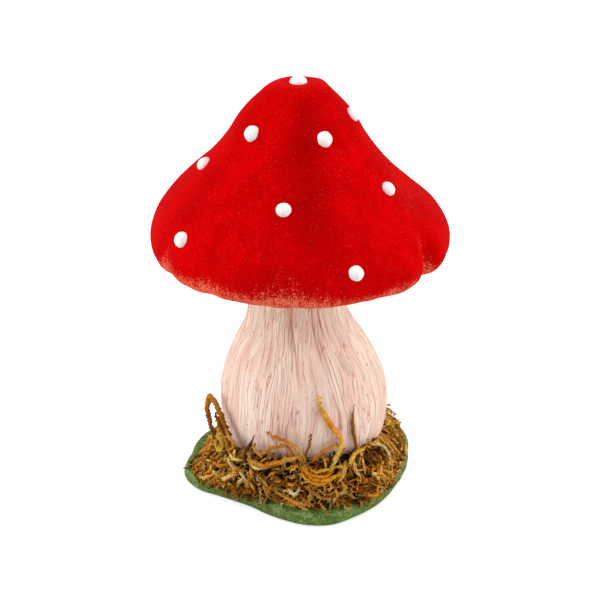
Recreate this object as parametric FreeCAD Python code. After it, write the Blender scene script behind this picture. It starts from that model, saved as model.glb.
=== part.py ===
import FreeCAD, Part
import math
import os

from FreeCAD import Vector

# Mushroom ornament. A bell-shaped foam cap covered in velvet, with domed dots, stands on a
# pear-shaped foam stem wrapped in wrinkled paper. A ring of dried moss hides the stem's foot,
# on a lobed board covered in green paper. Millimetres, +Z up, origin on the table under the
# middle of the base, -Y towards the viewer. Azimuths are in degrees from +X towards +Y.

# Base: a lobed board, wrapped in paper and finished with a pad underneath
base_reach = 44.0
base_thickness = 6.0
base_edge_round = 2.6
base_pad_stand = 0.3
base_pad_gap = 0.3
green_paper_thickness = 0.8
green_paper_turn_in = 6.0

# Stem: a pear of foam in a paper wrap, tied to base and cap by a dowel
stem_length = 86.4
stem_bulge_radius = 31.3
stem_paper_thickness = 0.7
stem_pleat_height = 0.6
stem_foot_glue_thickness = 0.4
stem_top_glue_thickness = 0.5
dowel_diameter = 6.0
dowel_depth_in_base = 3.6
dowel_depth_in_cap = 26.0

# Cap: a bell of foam under a velvet cover that is tucked round the rim
cap_radius = 54.8
cap_height = 67.1
velvet_thickness = 1.2
velvet_opening_radius = 42.0
tuck_depth = 4.6
tuck_half_width = 4.4
underside_disc_thickness = 0.9
underside_disc_gap = 0.3

# Dots glued on the velvet
dot_diameter = 5.8
dot_height = 2.1
crown_dot_diameter = 6.4

# Dried moss round the foot
moss_height = 23.0
moss_margin = 3.4
moss_collar = 2.0
moss_lump = 1.0
moss_tuck_in = 3.0
moss_clump_gap = 0.6
strand_diameter = 1.8

# Clearances
glue_line = 0.15
dot_glue_line = 0.06
moss_clearance = 0.3
cut_overrun = 5.0

# Counts
base_ring_points = 72
stem_ring_points = 150
cap_ring_points = 120
moss_ring_points = 96
strand_ring_points = 8
strand_steps = 4
stem_pleats = 30
moss_clumps = 6

# Outline of the base: azimuth, and radius as a share of base_reach
base_outline_shares = [
    (-175, 1.00), (-164, 0.94), (-152, 0.82), (-139, 0.75), (-126, 0.73), (-113, 0.77),
    (-100, 0.83), (-88, 0.90), (-74, 0.94), (-58, 0.90), (-42, 0.875), (-27, 0.86),
    (-12, 0.87), (4, 0.93), (19, 1.01), (33, 1.13), (46, 1.19), (62, 1.08),
    (86, 0.89), (108, 0.92), (130, 1.05), (148, 1.04), (167, 0.99),
]

# Edge of the base from the table up: inset as a share of base_edge_round, and level as a
# share of the slab's thickness
base_edge_shares = [(0.50, 0.0), (0.14, 0.16), (0.0, 0.42), (0.10, 0.68), (0.42, 0.88), (1.0, 1.0)]

# Stem from foot to top: radius as a share of stem_bulge_radius, level as a share of stem_length,
# sideways lean as a share of stem_bulge_radius, and the depth of the pleats there
stem_profile_shares = [
    (0.720, 0.000, 0.024, 0.30), (0.810, 0.055, 0.034, 0.30), (0.906, 0.135, 0.044, 0.30),
    (0.980, 0.240, 0.050, 0.30), (1.000, 0.330, 0.048, 0.30), (0.985, 0.410, 0.040, 0.35),
    (0.906, 0.505, 0.026, 0.45), (0.777, 0.603, 0.010, 0.60), (0.627, 0.700, -0.016, 0.85),
    (0.558, 0.775, -0.038, 1.00), (0.524, 0.850, -0.045, 1.00), (0.514, 0.940, -0.044, 0.80),
    (0.514, 1.000, -0.040, 0.50),
]

# Cap from crown to rim: radius as a share of cap_radius, level as a share of cap_height, and
# sideways lean as a share of cap_radius
cap_profile_shares = [
    (0.060, 1.000, -0.012), (0.130, 0.997, -0.012), (0.200, 0.973, -0.016), (0.264, 0.924, -0.020),
    (0.378, 0.818, -0.022), (0.466, 0.699, -0.024), (0.580, 0.579, -0.032), (0.710, 0.471, -0.048),
    (0.842, 0.365, -0.040), (0.950, 0.264, -0.016), (1.000, 0.152, 0.000), (0.990, 0.088, 0.000),
    (0.958, 0.041, 0.000), (0.902, 0.012, 0.000), (0.840, 0.000, 0.000),
]

# Tucks of the velvet: azimuth, and depth as a share of tuck_depth, negative for the puff beside
# the deepest one. They are whole from the rim up to the lip level and fade out at the rise
# level, both shares of cap_height.
tuck_shares = [
    (-30, 1.35), (-47, -0.30), (-92, 0.12), (-128, 0.35), (-146, 0.45),
    (22, 0.35), (67, 0.65), (118, 0.40), (166, 0.55),
]
tuck_lip_share = 0.13
tuck_rise_share = 0.36

# Slow waves in the cap's roundness: waves round the cap, phase in degrees, share of the radius
cap_wave_shares = [(3, 40, 0.007), (5, 115, 0.005)]

# Dots: azimuth, and level as a share of cap_height
dot_place_shares = [
    (-10, 0.838), (-136, 0.790), (-63, 0.783), (-172, 0.560), (-27, 0.490), (-95, 0.490),
    (-142.5, 0.288), (-68, 0.213), (72, 0.825), (139, 0.785), (44, 0.590), (98, 0.520),
    (50, 0.235), (76, 0.365), (104, 0.205), (130, 0.330), (156, 0.205),
]

# Moss mound from the base up: reach outwards as a share of the way from the stem's collar to
# the outer edge, and level as a share of the moss's top there
moss_profile_shares = [
    (1.00, 0.00), (1.00, 0.14), (0.88, 0.32), (0.62, 0.52), (0.38, 0.72), (0.22, 0.88), (0.04, 1.00),
]

# Top of the moss round the ring: azimuth, and share of moss_height. It is low at the left and
# behind it, where the green base shows, and highest in front.
moss_rise_shares = [
    (-178, 0.48), (-160, 0.56), (-142, 0.76), (-120, 0.86), (-90, 0.84), (-60, 0.88), (-33, 0.84),
    (0, 0.70), (25, 0.64), (60, 0.74), (90, 0.80), (125, 0.62), (150, 0.40), (166, 0.40),
]

# Levels of the mound as shares of moss_height, and the share over which its top falls in to
# the stem
moss_level_shares = [0.00, 0.14, 0.32, 0.44, 0.56, 0.68, 0.80, 0.90, 1.00]
moss_top_share = 0.12

# Lumps of the moss: waves round the ring, phase in degrees, share of moss_lump. The single
# wave makes the moss fuller on the right.
moss_wave_shares = [(1, 0, 1.4), (7, 20, 0.5), (11, 75, 0.35), (17, 200, 0.3)]

# Larger strands, loops and twigs of the moss. First the thickness as a share of
# strand_diameter, then the points: azimuth, lift off the mound as a share of strand_diameter,
# negative where a tip is buried, and level as a share of moss_height.
strand_shares = {
    "moss_loop_left": (1.15, [
        (-172, -0.7, 0.30), (-173, 0.7, 0.56), (-172, 0.9, 0.84), (-171, 0.9, 1.14),
        (-168, 0.5, 1.37), (-161, 0.2, 1.39), (-153, 0.0, 1.28), (-146, 0.0, 1.10),
        (-140, 0.3, 0.90), (-135, -0.7, 0.66)]),
    "moss_twig_dark": (0.75, [
        (-120, 0.0, 1.16), (-122, 0.4, 1.01), (-124, 0.6, 0.89), (-127, 0.6, 0.70), (-131, -0.7, 0.50)]),
    "moss_arch_front": (0.80, [
        (-116, -0.7, 0.66), (-115, 0.5, 0.83), (-110, 0.4, 0.96), (-104, 0.4, 1.04),
        (-98, 0.4, 1.05), (-95, 0.5, 0.90), (-93, -0.7, 0.66)]),
    "moss_strand_upper": (1.00, [
        (-112, -0.1, 1.26), (-107, 0.4, 1.22), (-101, 0.6, 1.18), (-95, 0.7, 1.13),
        (-91, 0.7, 1.02), (-88, 0.6, 0.86), (-85, -0.7, 0.66)]),
    "moss_strand_front": (1.10, [
        (-121, -0.3, 1.00), (-123, 0.8, 0.88), (-122, 0.9, 0.74), (-114, 0.9, 0.69),
        (-106, 0.9, 0.76), (-97, 0.9, 0.85), (-91, 0.5, 0.88), (-88, -0.7, 0.70)]),
    "moss_strand_straw": (0.90, [
        (-77, -0.4, 1.86), (-76, -0.4, 1.66), (-73, -0.4, 1.50), (-68, -0.3, 1.28), (-65, 0.4, 1.16),
        (-64, 0.6, 1.02), (-66, 0.8, 0.86), (-71, 0.7, 0.70), (-75, -0.7, 0.52)]),
    "moss_twig_thin": (0.60, [
        (-52, -0.3, 1.63), (-54, -0.3, 1.42), (-54, -0.2, 1.20), (-52, 0.0, 0.98),
        (-52, 0.4, 0.82), (-54, -0.6, 0.60)]),
    "moss_curl_front_right": (1.00, [
        (-91, -0.6, 0.66), (-88, 0.9, 0.72), (-85, 1.1, 0.60), (-80, 1.1, 0.54),
        (-74, 1.1, 0.55), (-68, 0.9, 0.58), (-64, -0.7, 0.50)]),
    "moss_strand_right": (0.95, [
        (-24, -0.7, 0.72), (-21, 0.7, 0.70), (-18, 0.9, 0.56), (-15, 0.9, 0.40),
        (-11, 0.7, 0.24), (-7, -0.6, 0.12)]),
    "moss_twig_right": (0.70, [
        (18, -0.7, 0.40), (16, 0.2, 0.72), (14, 0.6, 0.90), (12, 1.6, 0.87), (10, 2.7, 0.80)]),
    "moss_strand_back_left": (1.00, [
        (152, -0.7, 0.18), (146, 0.7, 0.38), (137, 0.6, 0.58), (126, 0.4, 0.76),
        (116, 0.6, 0.70), (110, -0.7, 0.46)]),
    "moss_loop_back": (0.95, [
        (78, -0.7, 0.50), (80, 0.7, 0.80), (86, 0.3, 1.18), (93, 0.3, 1.16),
        (98, 0.7, 0.80), (101, -0.7, 0.50)]),
    "moss_strand_back_right": (0.90, [
        (63, -0.7, 0.20), (55, 0.7, 0.40), (46, 0.9, 0.44), (37, 0.7, 0.50),
        (29, 0.8, 0.46), (22, -0.7, 0.30)]),
}

# Taper of the strands: thickness at the tips as a share of the full thickness, and the share of
# the length over which it grows
strand_tip_share = 0.6
strand_taper_share = 0.25

# Levels and radii that follow from the sizes above
board_bottom_z = base_pad_stand + green_paper_thickness + glue_line
board_top_z = base_thickness - green_paper_thickness - glue_line
stem_foot_z = base_thickness + stem_foot_glue_thickness
stem_top_z = stem_foot_z + stem_length
cap_seat_z = stem_top_z + stem_top_glue_thickness
cap_bottom_z = cap_seat_z - glue_line - velvet_thickness
crown_z = cap_bottom_z + cap_height
dowel_hole_radius = dowel_diameter / 2 + glue_line


def smooth_between(table, azimuth):
    """Share at an azimuth, from a closed table of azimuth and share, eased between entries."""
    entries = sorted((at % 360, share) for at, share in table)
    turn = azimuth % 360
    following = next((index for index, entry in enumerate(entries) if entry[0] > turn), 0)
    start = entries[following - 1][0]
    span = (entries[following][0] - start) % 360
    t = ((turn - start) % 360) / span
    before, first, last, after = (entries[(following + step) % len(entries)][1] for step in (-2, -1, 0, 1))
    slope = last - before
    bend = 2 * before - 5 * first + 4 * last - after
    twist = 3 * (first - last) + after - before
    return first + t * (slope + t * (bend + t * twist)) / 2


def between_levels(rows, level):
    """Row of a profile at a level share, straight between the rows that hold it."""
    rows = sorted(rows, key=lambda row: row[1])
    level = min(max(level, rows[0][1]), rows[-1][1])
    for low, high in zip(rows, rows[1:]):
        if level <= high[1]:
            t = (level - low[1]) / (high[1] - low[1])
            return [a + t * (b - a) for a, b in zip(low, high)]


def waves(table, azimuth):
    """Sum of the cosine waves of a table of count, phase and share."""
    return sum(share * math.cos(math.radians(count * azimuth + phase)) for count, phase, share in table)


def polar(azimuth, radius, z, lean=0.0):
    """Point at an azimuth and radius about an upright axis that stands off by lean."""
    turn = math.radians(azimuth)
    return Vector(lean + radius * math.cos(turn), radius * math.sin(turn), z)


def closed_curve(poles):
    """Smooth closed wire that follows a ring of poles."""
    curve = Part.BSplineCurve()
    curve.buildFromPoles(poles, True, 3)
    return Part.Wire([curve.toShape()])


def ring(radius_at, z, count, lean=0.0):
    """Smooth level ring. Its poles stand out a little, so the ring has the stated radius."""
    gain = 3 / (2 + math.cos(2 * math.pi / count))
    azimuths = [360 * step / count for step in range(count)]
    return closed_curve([polar(azimuth, gain * radius_at(azimuth), z, lean) for azimuth in azimuths])


def prism(wire, height):
    """Upright solid on a closed wire."""
    return Part.Face(wire).extrude(Vector(0, 0, height))


def post(radius, low_z, high_z, x=0.0):
    """Upright round post between two levels."""
    return Part.makeCylinder(radius, high_z - low_z, Vector(x, 0, low_z))


def between(form, low_z, high_z):
    """The part of a form between two levels, with flat ends."""
    reach = 4 * (cap_radius + base_reach)
    slab = Part.makeBox(reach, reach, high_z - low_z, Vector(-reach / 2, -reach / 2, low_z))
    return form.common(slab)


def base_radius(azimuth):
    return base_reach * smooth_between(base_outline_shares, azimuth)


def base_form(inset, low_z, high_z):
    """Slab of the base's outline with a rounded edge, set in by inset all round."""
    rings = []
    for inset_share, level_share in base_edge_shares:
        depth = inset + inset_share * (base_edge_round - inset)
        z = low_z + level_share * (high_z - low_z)
        rings.append(ring(lambda azimuth: base_radius(azimuth) - depth, z, base_ring_points))
    return Part.makeLoft(rings, True, False)


def base_prism(inset, low_z, high_z):
    """Straight-sided slab of the base's outline, set in by inset."""
    return prism(ring(lambda azimuth: base_radius(azimuth) - inset, low_z, base_ring_points), high_z - low_z)


def make_base_pad():
    return base_prism(green_paper_turn_in + base_pad_gap, 0, board_bottom_z)


def make_base_board():
    board = base_form(green_paper_thickness + glue_line, board_bottom_z, board_top_z)
    socket = post(dowel_hole_radius, board_top_z - dowel_depth_in_base, board_top_z + cut_overrun)
    return board.cut(socket)


def make_green_paper():
    outside = base_form(0, base_pad_stand, base_thickness)
    under_top_z = base_thickness - green_paper_thickness
    inside = base_form(green_paper_thickness, board_bottom_z - glue_line, under_top_z)
    opening = base_prism(green_paper_turn_in, base_pad_stand - cut_overrun, board_bottom_z)
    dowel_hole = post(dowel_hole_radius, board_bottom_z, base_thickness + cut_overrun)
    return outside.cut(inside).cut(opening).cut(dowel_hole)


def stem_radius(z):
    """Radius of the paper-wrapped stem at a level, its pleats left out."""
    level = (z - stem_foot_z) / stem_length
    return stem_bulge_radius * between_levels(stem_profile_shares, level)[0]


def pleat(azimuth):
    """How far the paper stands out in its pleats, from 0 to 1 round the stem."""
    drift = 40 * math.sin(math.radians(2 * azimuth + 30)) + 25 * math.sin(math.radians(5 * azimuth))
    return 0.5 + 0.5 * math.cos(math.radians(stem_pleats * azimuth + drift))


def stem_form(grow, pleat_height):
    """The pear of the stem, larger by grow all round, a little longer at both ends than the stem."""
    rows = [(row, stem_foot_z + row[1] * stem_length) for row in stem_profile_shares]
    rows.insert(0, (stem_profile_shares[0], stem_foot_z - cut_overrun))
    rows.append((stem_profile_shares[-1], stem_top_z + cut_overrun))
    rings = []
    for (radius_share, level_share, lean_share, pleat_share), z in rows:
        radius = radius_share * stem_bulge_radius + grow
        height = pleat_share * pleat_height
        lean = lean_share * stem_bulge_radius
        rings.append(ring(lambda azimuth: radius + height * pleat(azimuth), z, stem_ring_points, lean))
    return Part.makeLoft(rings, True, False)


def make_stem_core():
    pear = between(stem_form(-stem_paper_thickness - glue_line, 0), stem_foot_z, stem_top_z)
    return pear.cut(post(dowel_hole_radius, stem_foot_z - cut_overrun, stem_top_z + cut_overrun))


def make_stem_paper():
    outside = between(stem_form(0, stem_pleat_height), stem_foot_z, stem_top_z)
    return outside.cut(stem_form(-stem_paper_thickness, 0))


def stem_end(row):
    """Radius and sideways lean of one end of the stem."""
    return row[0] * stem_bulge_radius, row[2] * stem_bulge_radius


def make_stem_foot_glue():
    radius, lean = stem_end(stem_profile_shares[0])
    bed = post(radius - stem_paper_thickness, base_thickness, stem_foot_z, lean)
    return bed.cut(post(dowel_hole_radius, base_thickness - cut_overrun, stem_foot_z + cut_overrun))


def make_stem_top_glue():
    radius, lean = stem_end(stem_profile_shares[-1])
    bed = post(radius - stem_paper_thickness, stem_top_z, cap_seat_z, lean)
    return bed.cut(post(dowel_hole_radius, stem_top_z - cut_overrun, cap_seat_z + cut_overrun))


def make_dowel():
    return post(dowel_diameter / 2, board_top_z - dowel_depth_in_base, cap_seat_z + dowel_depth_in_cap)


def tuck_at(azimuth, radius, level_share):
    """How far the tucks draw the velvet in at a place on the cap."""
    fade = (tuck_rise_share - level_share) / (tuck_rise_share - tuck_lip_share)
    fade = min(max(fade, 0), 1)
    drawn = 0
    for at, depth_share in tuck_shares:
        apart = math.radians((azimuth - at + 180) % 360 - 180) * radius
        drawn += tuck_depth * depth_share * math.exp(-(apart / tuck_half_width) ** 2)
    return drawn * fade * fade * (3 - 2 * fade)


def cap_rows():
    """Radius, level, lean and level share of the cap's profile, crown first."""
    rows = []
    for radius_share, level_share, lean_share in cap_profile_shares:
        z = cap_bottom_z + level_share * cap_height
        rows.append((radius_share * cap_radius, z, lean_share * cap_radius, level_share))
    return rows


def outward(rows, index):
    """Unit direction, outwards and upwards, that stands square on the cap's profile at a row."""
    if index == 0:
        return 0.0, 1.0
    if index == len(rows) - 1:
        return 0.0, -1.0
    across = rows[index + 1][0] - rows[index - 1][0]
    fall = rows[index - 1][1] - rows[index + 1][1]
    length = math.hypot(across, fall)
    return fall / length, across / length


def cap_form(inset):
    """The bell of the cap with its tucks, set in by inset square to its surface."""
    rows = cap_rows()
    rings = []
    for index, (radius, z, lean, level_share) in enumerate(rows):
        out, up = outward(rows, index)
        inner = radius - inset * out

        def radius_at(azimuth):
            return inner * (1 + waves(cap_wave_shares, azimuth)) - tuck_at(azimuth, radius, level_share)

        rings.append(ring(radius_at, z - inset * up, cap_ring_points, lean))
    return Part.makeLoft(rings, True, False)


def make_cap_core():
    bell = cap_form(velvet_thickness + glue_line)
    return bell.cut(post(dowel_hole_radius, cap_seat_z - cut_overrun, cap_seat_z + dowel_depth_in_cap))


def make_velvet_cover(outside):
    opening = post(velvet_opening_radius, cap_bottom_z - cut_overrun, cap_seat_z)
    return outside.cut(cap_form(velvet_thickness)).cut(opening)


def make_underside_disc():
    radius, lean = stem_end(stem_profile_shares[-1])
    low_z = cap_seat_z - underside_disc_thickness
    disc = post(velvet_opening_radius - underside_disc_gap, low_z, cap_seat_z)
    neck_radius = radius + stem_pleat_height + underside_disc_gap
    return disc.cut(post(neck_radius, low_z - cut_overrun, cap_seat_z + cut_overrun, lean))


def dome(seat, normal, diameter, ground):
    """Domed dot of a diameter on a seat, cut where it meets the ground."""
    radius = (diameter ** 2 / 4 + dot_height ** 2) / (2 * dot_height)
    return Part.makeSphere(radius, seat - normal * (radius - dot_height), normal).cut(ground)


def dot_seat(azimuth, level_share, outside):
    """Point on the cap at an azimuth and level, and the direction that stands square on it there."""
    rows = cap_rows()
    z = cap_bottom_z + level_share * cap_height
    index = next(number for number, row in enumerate(rows) if row[1] <= z)
    lean = between_levels(cap_profile_shares, level_share)[2] * cap_radius
    start = polar(azimuth, 0, z, lean)
    ray = Part.makeLine(start, polar(azimuth, 2 * cap_radius, z, lean))
    ends = [vertex.Point for vertex in ray.common(outside).Vertexes]
    seat = max(ends, key=lambda point: (point - start).Length)
    across = rows[index][0] - rows[index - 1][0]
    fall = rows[index - 1][1] - rows[index][1]
    normal = polar(azimuth, fall, across)
    normal.normalize()
    return seat, normal


def make_dots(outside):
    """All dots, the one on the crown first."""
    ground = cap_form(-dot_glue_line)
    crown = Vector(cap_profile_shares[0][2] * cap_radius, 0, crown_z)
    dots = [dome(crown, Vector(0, 0, 1), crown_dot_diameter, ground)]
    for azimuth, level_share in dot_place_shares:
        seat, normal = dot_seat(azimuth, level_share, outside)
        dots.append(dome(seat, normal, dot_diameter, ground))
    return dots


def moss_spread(azimuth):
    """Width of the moss on the base, outside its collar round the stem."""
    return max(base_radius(azimuth) - moss_margin - stem_radius(stem_foot_z) - moss_collar, 0)


def mound_rise(azimuth):
    return smooth_between(moss_rise_shares, azimuth)


def mound_radius(azimuth, level_share):
    """Radius of the moss's outside. Above the mound it goes on up the stem, at the collar."""
    level = min(level_share / mound_rise(azimuth), 1)
    reach_share = between_levels(moss_profile_shares, level)[0]
    lumps = moss_lump * math.sin(math.pi * level) * waves(moss_wave_shares, azimuth)
    return stem_radius(moss_z(level_share)) + moss_collar + reach_share * moss_spread(azimuth) + lumps


def moss_z(level_share):
    return base_thickness + level_share * moss_height


def make_moss_mound():
    """The whole ring of moss before it is parted into clumps, the stem still inside it."""
    rings = []
    for level_share in moss_level_shares:

        def radius_at(azimuth):
            over = (level_share - mound_rise(azimuth)) / moss_top_share
            fall = min(max(over, 0), 1) * (moss_collar + moss_tuck_in)
            return mound_radius(azimuth, level_share) - fall

        rings.append(ring(radius_at, moss_z(level_share), moss_ring_points))
    return Part.makeLoft(rings, True, False)


def wedge(azimuth, width, gap):
    """Upright wedge that opens from the axis at an azimuth, narrower by a gap on both sides."""
    reach = 2 * (base_reach + moss_height)
    apex = polar(azimuth, gap / 2 / math.sin(math.radians(width / 2)), 0)
    corners = [apex + polar(azimuth + turn, reach, 0) for turn in (-width / 2, 0, width / 2)]
    outline = Part.makePolygon([apex] + corners + [apex])
    return prism(outline, base_thickness + 2 * moss_height)


def make_moss_clumps(mound, stem_room):
    width = 360 / moss_clumps
    wedges = [wedge(width * number, width, moss_clump_gap) for number in range(moss_clumps)]
    return [mound.common(share_of_ring).cut(stem_room) for share_of_ring in wedges]


def strand_point(azimuth, lift_share, level_share):
    radius = mound_radius(azimuth, level_share) + lift_share * strand_diameter
    return polar(azimuth, radius, moss_z(level_share))


def smooth_path(points):
    """More points along a smooth line through the given ones."""
    padded = [points[0]] + points + [points[-1]]
    path = []
    for before, first, last, after in zip(padded, padded[1:], padded[2:], padded[3:]):
        for step in range(strand_steps):
            t = step / strand_steps
            slope = last - before
            bend = before * 2 - first * 5 + last * 4 - after
            twist = (first - last) * 3 + after - before
            path.append(first + (slope + (bend + twist * t) * t) * (t / 2))
    return path + [points[-1]]


def tube(path, radius):
    """Round strand along a path, thinner towards both tips."""
    last = len(path) - 1
    side = Vector(0, 0, 1)
    rings = []
    for index, centre in enumerate(path):
        tangent = path[min(index + 1, last)] - path[max(index - 1, 0)]
        tangent.normalize()
        across = tangent.cross(side)
        across.normalize()
        side = across.cross(tangent)
        from_tip = min(min(index, last - index) / (strand_taper_share * last), 1)
        size = radius * (strand_tip_share + (1 - strand_tip_share) * from_tip)
        turns = [2 * math.pi * step / strand_ring_points for step in range(strand_ring_points)]
        rings.append(closed_curve([centre + (across * math.cos(turn) + side * math.sin(turn)) * size
                                   for turn in turns]))
    return Part.makeLoft(rings, True, False)


def make_strand(thickness_share, places, mound, stem_room):
    path = smooth_path([strand_point(*place) for place in places])
    strand = tube(path, thickness_share * strand_diameter / 2)
    return strand.cut(mound).cut(stem_room)


def save(name, shape):
    """Write one sub-part and say what it holds."""
    solids = len(shape.Solids)
    box = shape.optimalBoundingBox(False)
    print(f"{name:26s} {solids} solid(s) {shape.Volume:10.1f} mm3, z {box.ZMin:7.2f} to {box.ZMax:7.2f}, "
          f"{'sound' if shape.isValid() else 'BROKEN'}")
    shape.exportStep(f"parts/{name}.step")


def main():
    os.makedirs("parts", exist_ok=True)
    save("base_pad", make_base_pad())
    save("base_board", make_base_board())
    save("base_green_paper", make_green_paper())
    save("stem_core", make_stem_core())
    save("stem_paper_wrap", make_stem_paper())
    save("stem_foot_glue", make_stem_foot_glue())
    save("stem_top_glue", make_stem_top_glue())
    save("centre_dowel", make_dowel())
    outside = cap_form(0)
    save("cap_core", make_cap_core())
    save("cap_velvet_cover", make_velvet_cover(outside))
    save("cap_underside_disc", make_underside_disc())
    for number, dot in enumerate(make_dots(outside), 1):
        save(f"white_dot_{number:02d}", dot)
    mound = make_moss_mound()
    stem_room = stem_form(moss_clearance, stem_pleat_height)
    for number, clump in enumerate(make_moss_clumps(mound, stem_room), 1):
        save(f"moss_clump_{number}", clump)
    for name, (thickness_share, places) in strand_shares.items():
        save(name, make_strand(thickness_share, places, mound, stem_room))


main()
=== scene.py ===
# %% [markdown]
# # A velvet mushroom on a mossy base
#
# This notebook dresses a small craft ornament. A foam bell is covered in red velvet and dotted
# with white domes. It stands on a pear of foam in wrinkled paper, and a ring of dried moss hides
# the foot of that stem on a lobed board in green paper.
#
# The measured model comes first. It holds the true sizes, so every piece below is made round
# it: each cover follows the measured form and adds the folds, the nap and the wear that a
# measured solid leaves out. Lengths are in metres, and one named millimetre keeps the small
# sizes readable.

import math

import bmesh
import bpy
import numpy as np
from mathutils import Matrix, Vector, noise
from mathutils.bvhtree import BVHTree


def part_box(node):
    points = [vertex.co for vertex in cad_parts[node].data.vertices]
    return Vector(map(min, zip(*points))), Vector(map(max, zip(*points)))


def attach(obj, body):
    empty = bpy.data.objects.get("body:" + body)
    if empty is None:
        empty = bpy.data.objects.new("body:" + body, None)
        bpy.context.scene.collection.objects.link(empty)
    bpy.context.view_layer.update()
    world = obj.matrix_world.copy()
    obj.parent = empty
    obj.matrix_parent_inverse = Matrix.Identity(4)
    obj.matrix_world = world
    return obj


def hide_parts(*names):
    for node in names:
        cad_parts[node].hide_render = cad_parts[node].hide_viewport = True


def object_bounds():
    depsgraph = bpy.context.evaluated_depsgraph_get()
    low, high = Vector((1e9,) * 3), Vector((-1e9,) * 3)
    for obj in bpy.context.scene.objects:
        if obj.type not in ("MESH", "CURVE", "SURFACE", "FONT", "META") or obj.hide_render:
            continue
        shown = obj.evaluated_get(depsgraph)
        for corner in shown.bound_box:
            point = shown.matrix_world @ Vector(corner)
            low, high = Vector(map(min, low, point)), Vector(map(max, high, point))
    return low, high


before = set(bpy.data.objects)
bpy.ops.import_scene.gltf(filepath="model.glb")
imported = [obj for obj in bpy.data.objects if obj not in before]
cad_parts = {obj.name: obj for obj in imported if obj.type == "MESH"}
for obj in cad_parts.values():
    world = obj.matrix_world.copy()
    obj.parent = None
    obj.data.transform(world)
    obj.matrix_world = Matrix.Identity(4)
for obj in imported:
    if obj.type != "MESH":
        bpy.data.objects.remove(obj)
cad_low, cad_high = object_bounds()

mm = 0.001
whole_size = [round(side / mm, 1) for side in cad_high - cad_low]
print(f"{len(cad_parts)} measured nodes, {whole_size} mm in all")

# %% [markdown]
# ## Shader maths as plain Python
#
# A material is a graph of nodes, and long lists of links are hard to read. A small class can
# wrap one socket and take part in Python arithmetic, so that `1 - mask` adds its own Subtract
# node. One method makes every other kind of node. This keeps each finish below to a few lines
# that say what the eye sees.

# %% A socket that can be added and scaled
class Value:
    """One output socket of a node graph, used like a number."""

    def __init__(self, graph, socket):
        self.graph = graph
        self.socket = socket

    def maths(self, operation, *operands):
        settings = {"operation": operation}
        return self.graph.node("ShaderNodeMath", settings, dict(enumerate(operands)))

    def __add__(self, other):
        return self.maths("ADD", self, other)

    def __sub__(self, other):
        return self.maths("SUBTRACT", self, other)

    def __rsub__(self, other):
        return self.maths("SUBTRACT", other, self)

    def __mul__(self, other):
        return self.maths("MULTIPLY", self, other)

    __radd__ = __add__
    __rmul__ = __mul__


# %% A graph with one way to make a node
class Graph:
    """A node tree, with a method that makes any node and short names for the common ones."""

    def __init__(self, owner):
        owner.use_nodes = True
        self.tree = owner.node_tree
        self.tree.nodes.clear()

    def node(self, kind, settings=None, inputs=None, output=0):
        made = self.tree.nodes.new(kind)
        for name, setting in (settings or {}).items():
            if name == "stops":
                self.set_stops(made.color_ramp, setting)
            else:
                setattr(made, name, setting)
        for name, given in (inputs or {}).items():
            if isinstance(given, Value):
                self.tree.links.new(given.socket, made.inputs[name])
            else:
                made.inputs[name].default_value = given
        return Value(self, made.outputs[output] if made.outputs else None)

    @staticmethod
    def set_stops(ramp, stops):
        while len(ramp.elements) < len(stops):
            ramp.elements.new(0.5)
        for element, (place, colour) in zip(ramp.elements, stops):
            element.position = place
            element.color = colour

    def place(self, stretch=(1, 1, 1)):
        """Place on the object in millimetres, with each axis stretched."""
        spot = self.node("ShaderNodeTexCoord", output="Object")
        return self.vector("MULTIPLY", spot, [share / mm for share in stretch])

    def vector(self, operation, *operands, **named):
        """Vector Math on places and directions."""
        inputs = {**dict(enumerate(operands)), **named}
        return self.node("ShaderNodeVectorMath", {"operation": operation}, inputs)

    def attribute(self, name, output="Fac"):
        return self.node("ShaderNodeAttribute", {"attribute_name": name}, output=output)

    def cloud(self, place, size, detail=2.0, roughness=0.5):
        """Soft noise from 0 to 1 with lumps of a size in millimetres."""
        return self.node("ShaderNodeTexNoise", inputs={
            "Vector": place, "Scale": 1 / size, "Detail": detail, "Roughness": roughness})

    def step(self, value, low, high):
        """0 below low, 1 above high, and eased between them."""
        return self.node("ShaderNodeMapRange", {"interpolation_type": "SMOOTHSTEP"}, {
            "Value": value, "From Min": low, "From Max": high})

    def mix(self, first, second, share):
        """Colour between two colours."""
        inputs = {0: share, 6: first, 7: second}
        return self.node("ShaderNodeMix", {"data_type": "RGBA"}, inputs, output=2)

    def relief(self, height, depth):
        """Bump of a depth in millimetres from a height between 0 and 1."""
        return self.node("ShaderNodeBump", inputs={
            "Height": height, "Strength": 1.0, "Distance": depth * mm})

    def finish(self, **sockets):
        """Principled surface. An underscore in a socket's name here is a space in Blender's."""
        named = {name.replace("_", " "): given for name, given in sockets.items()}
        self.close(self.node("ShaderNodeBsdfPrincipled", inputs=named))

    def close(self, surface, ending="ShaderNodeOutputMaterial"):
        self.node(ending, inputs={"Surface": surface})


# %% Colours as a maker reads them off a swatch
def swatch(red, green, blue):
    """Colour from screen levels of 0 to 255, as the linear levels that a shader takes."""
    def linear(level):
        return level / 12.92 if level <= 0.04045 else ((level + 0.055) / 1.055) ** 2.4

    return (*(linear(level / 255) for level in (red, green, blue)), 1.0)


def new_finish(name):
    """A new material and the graph that paints it."""
    material = bpy.data.materials.new(name)
    return material, Graph(material)


print("a mid green swatch is", [round(level, 3) for level in swatch(90, 140, 80)])

# %% [markdown]
# ## The camera, the table and the light
#
# The photograph looks down at the ornament from about 24 degrees with a long lens, which keeps
# the rim of the cap nearly flat. A short lens could show the same outline from closer by, but
# it would swell the cap, so the camera stands well back. Large soft lamps left, right and above
# leave the middle of each round form a little darker than its sides, as in the photograph.
# The table is near white, and it stays a real surface so that the ornament keeps its shadow.
# It lies a hair below the felt, because two faces in one plane would flicker through each other.

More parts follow.
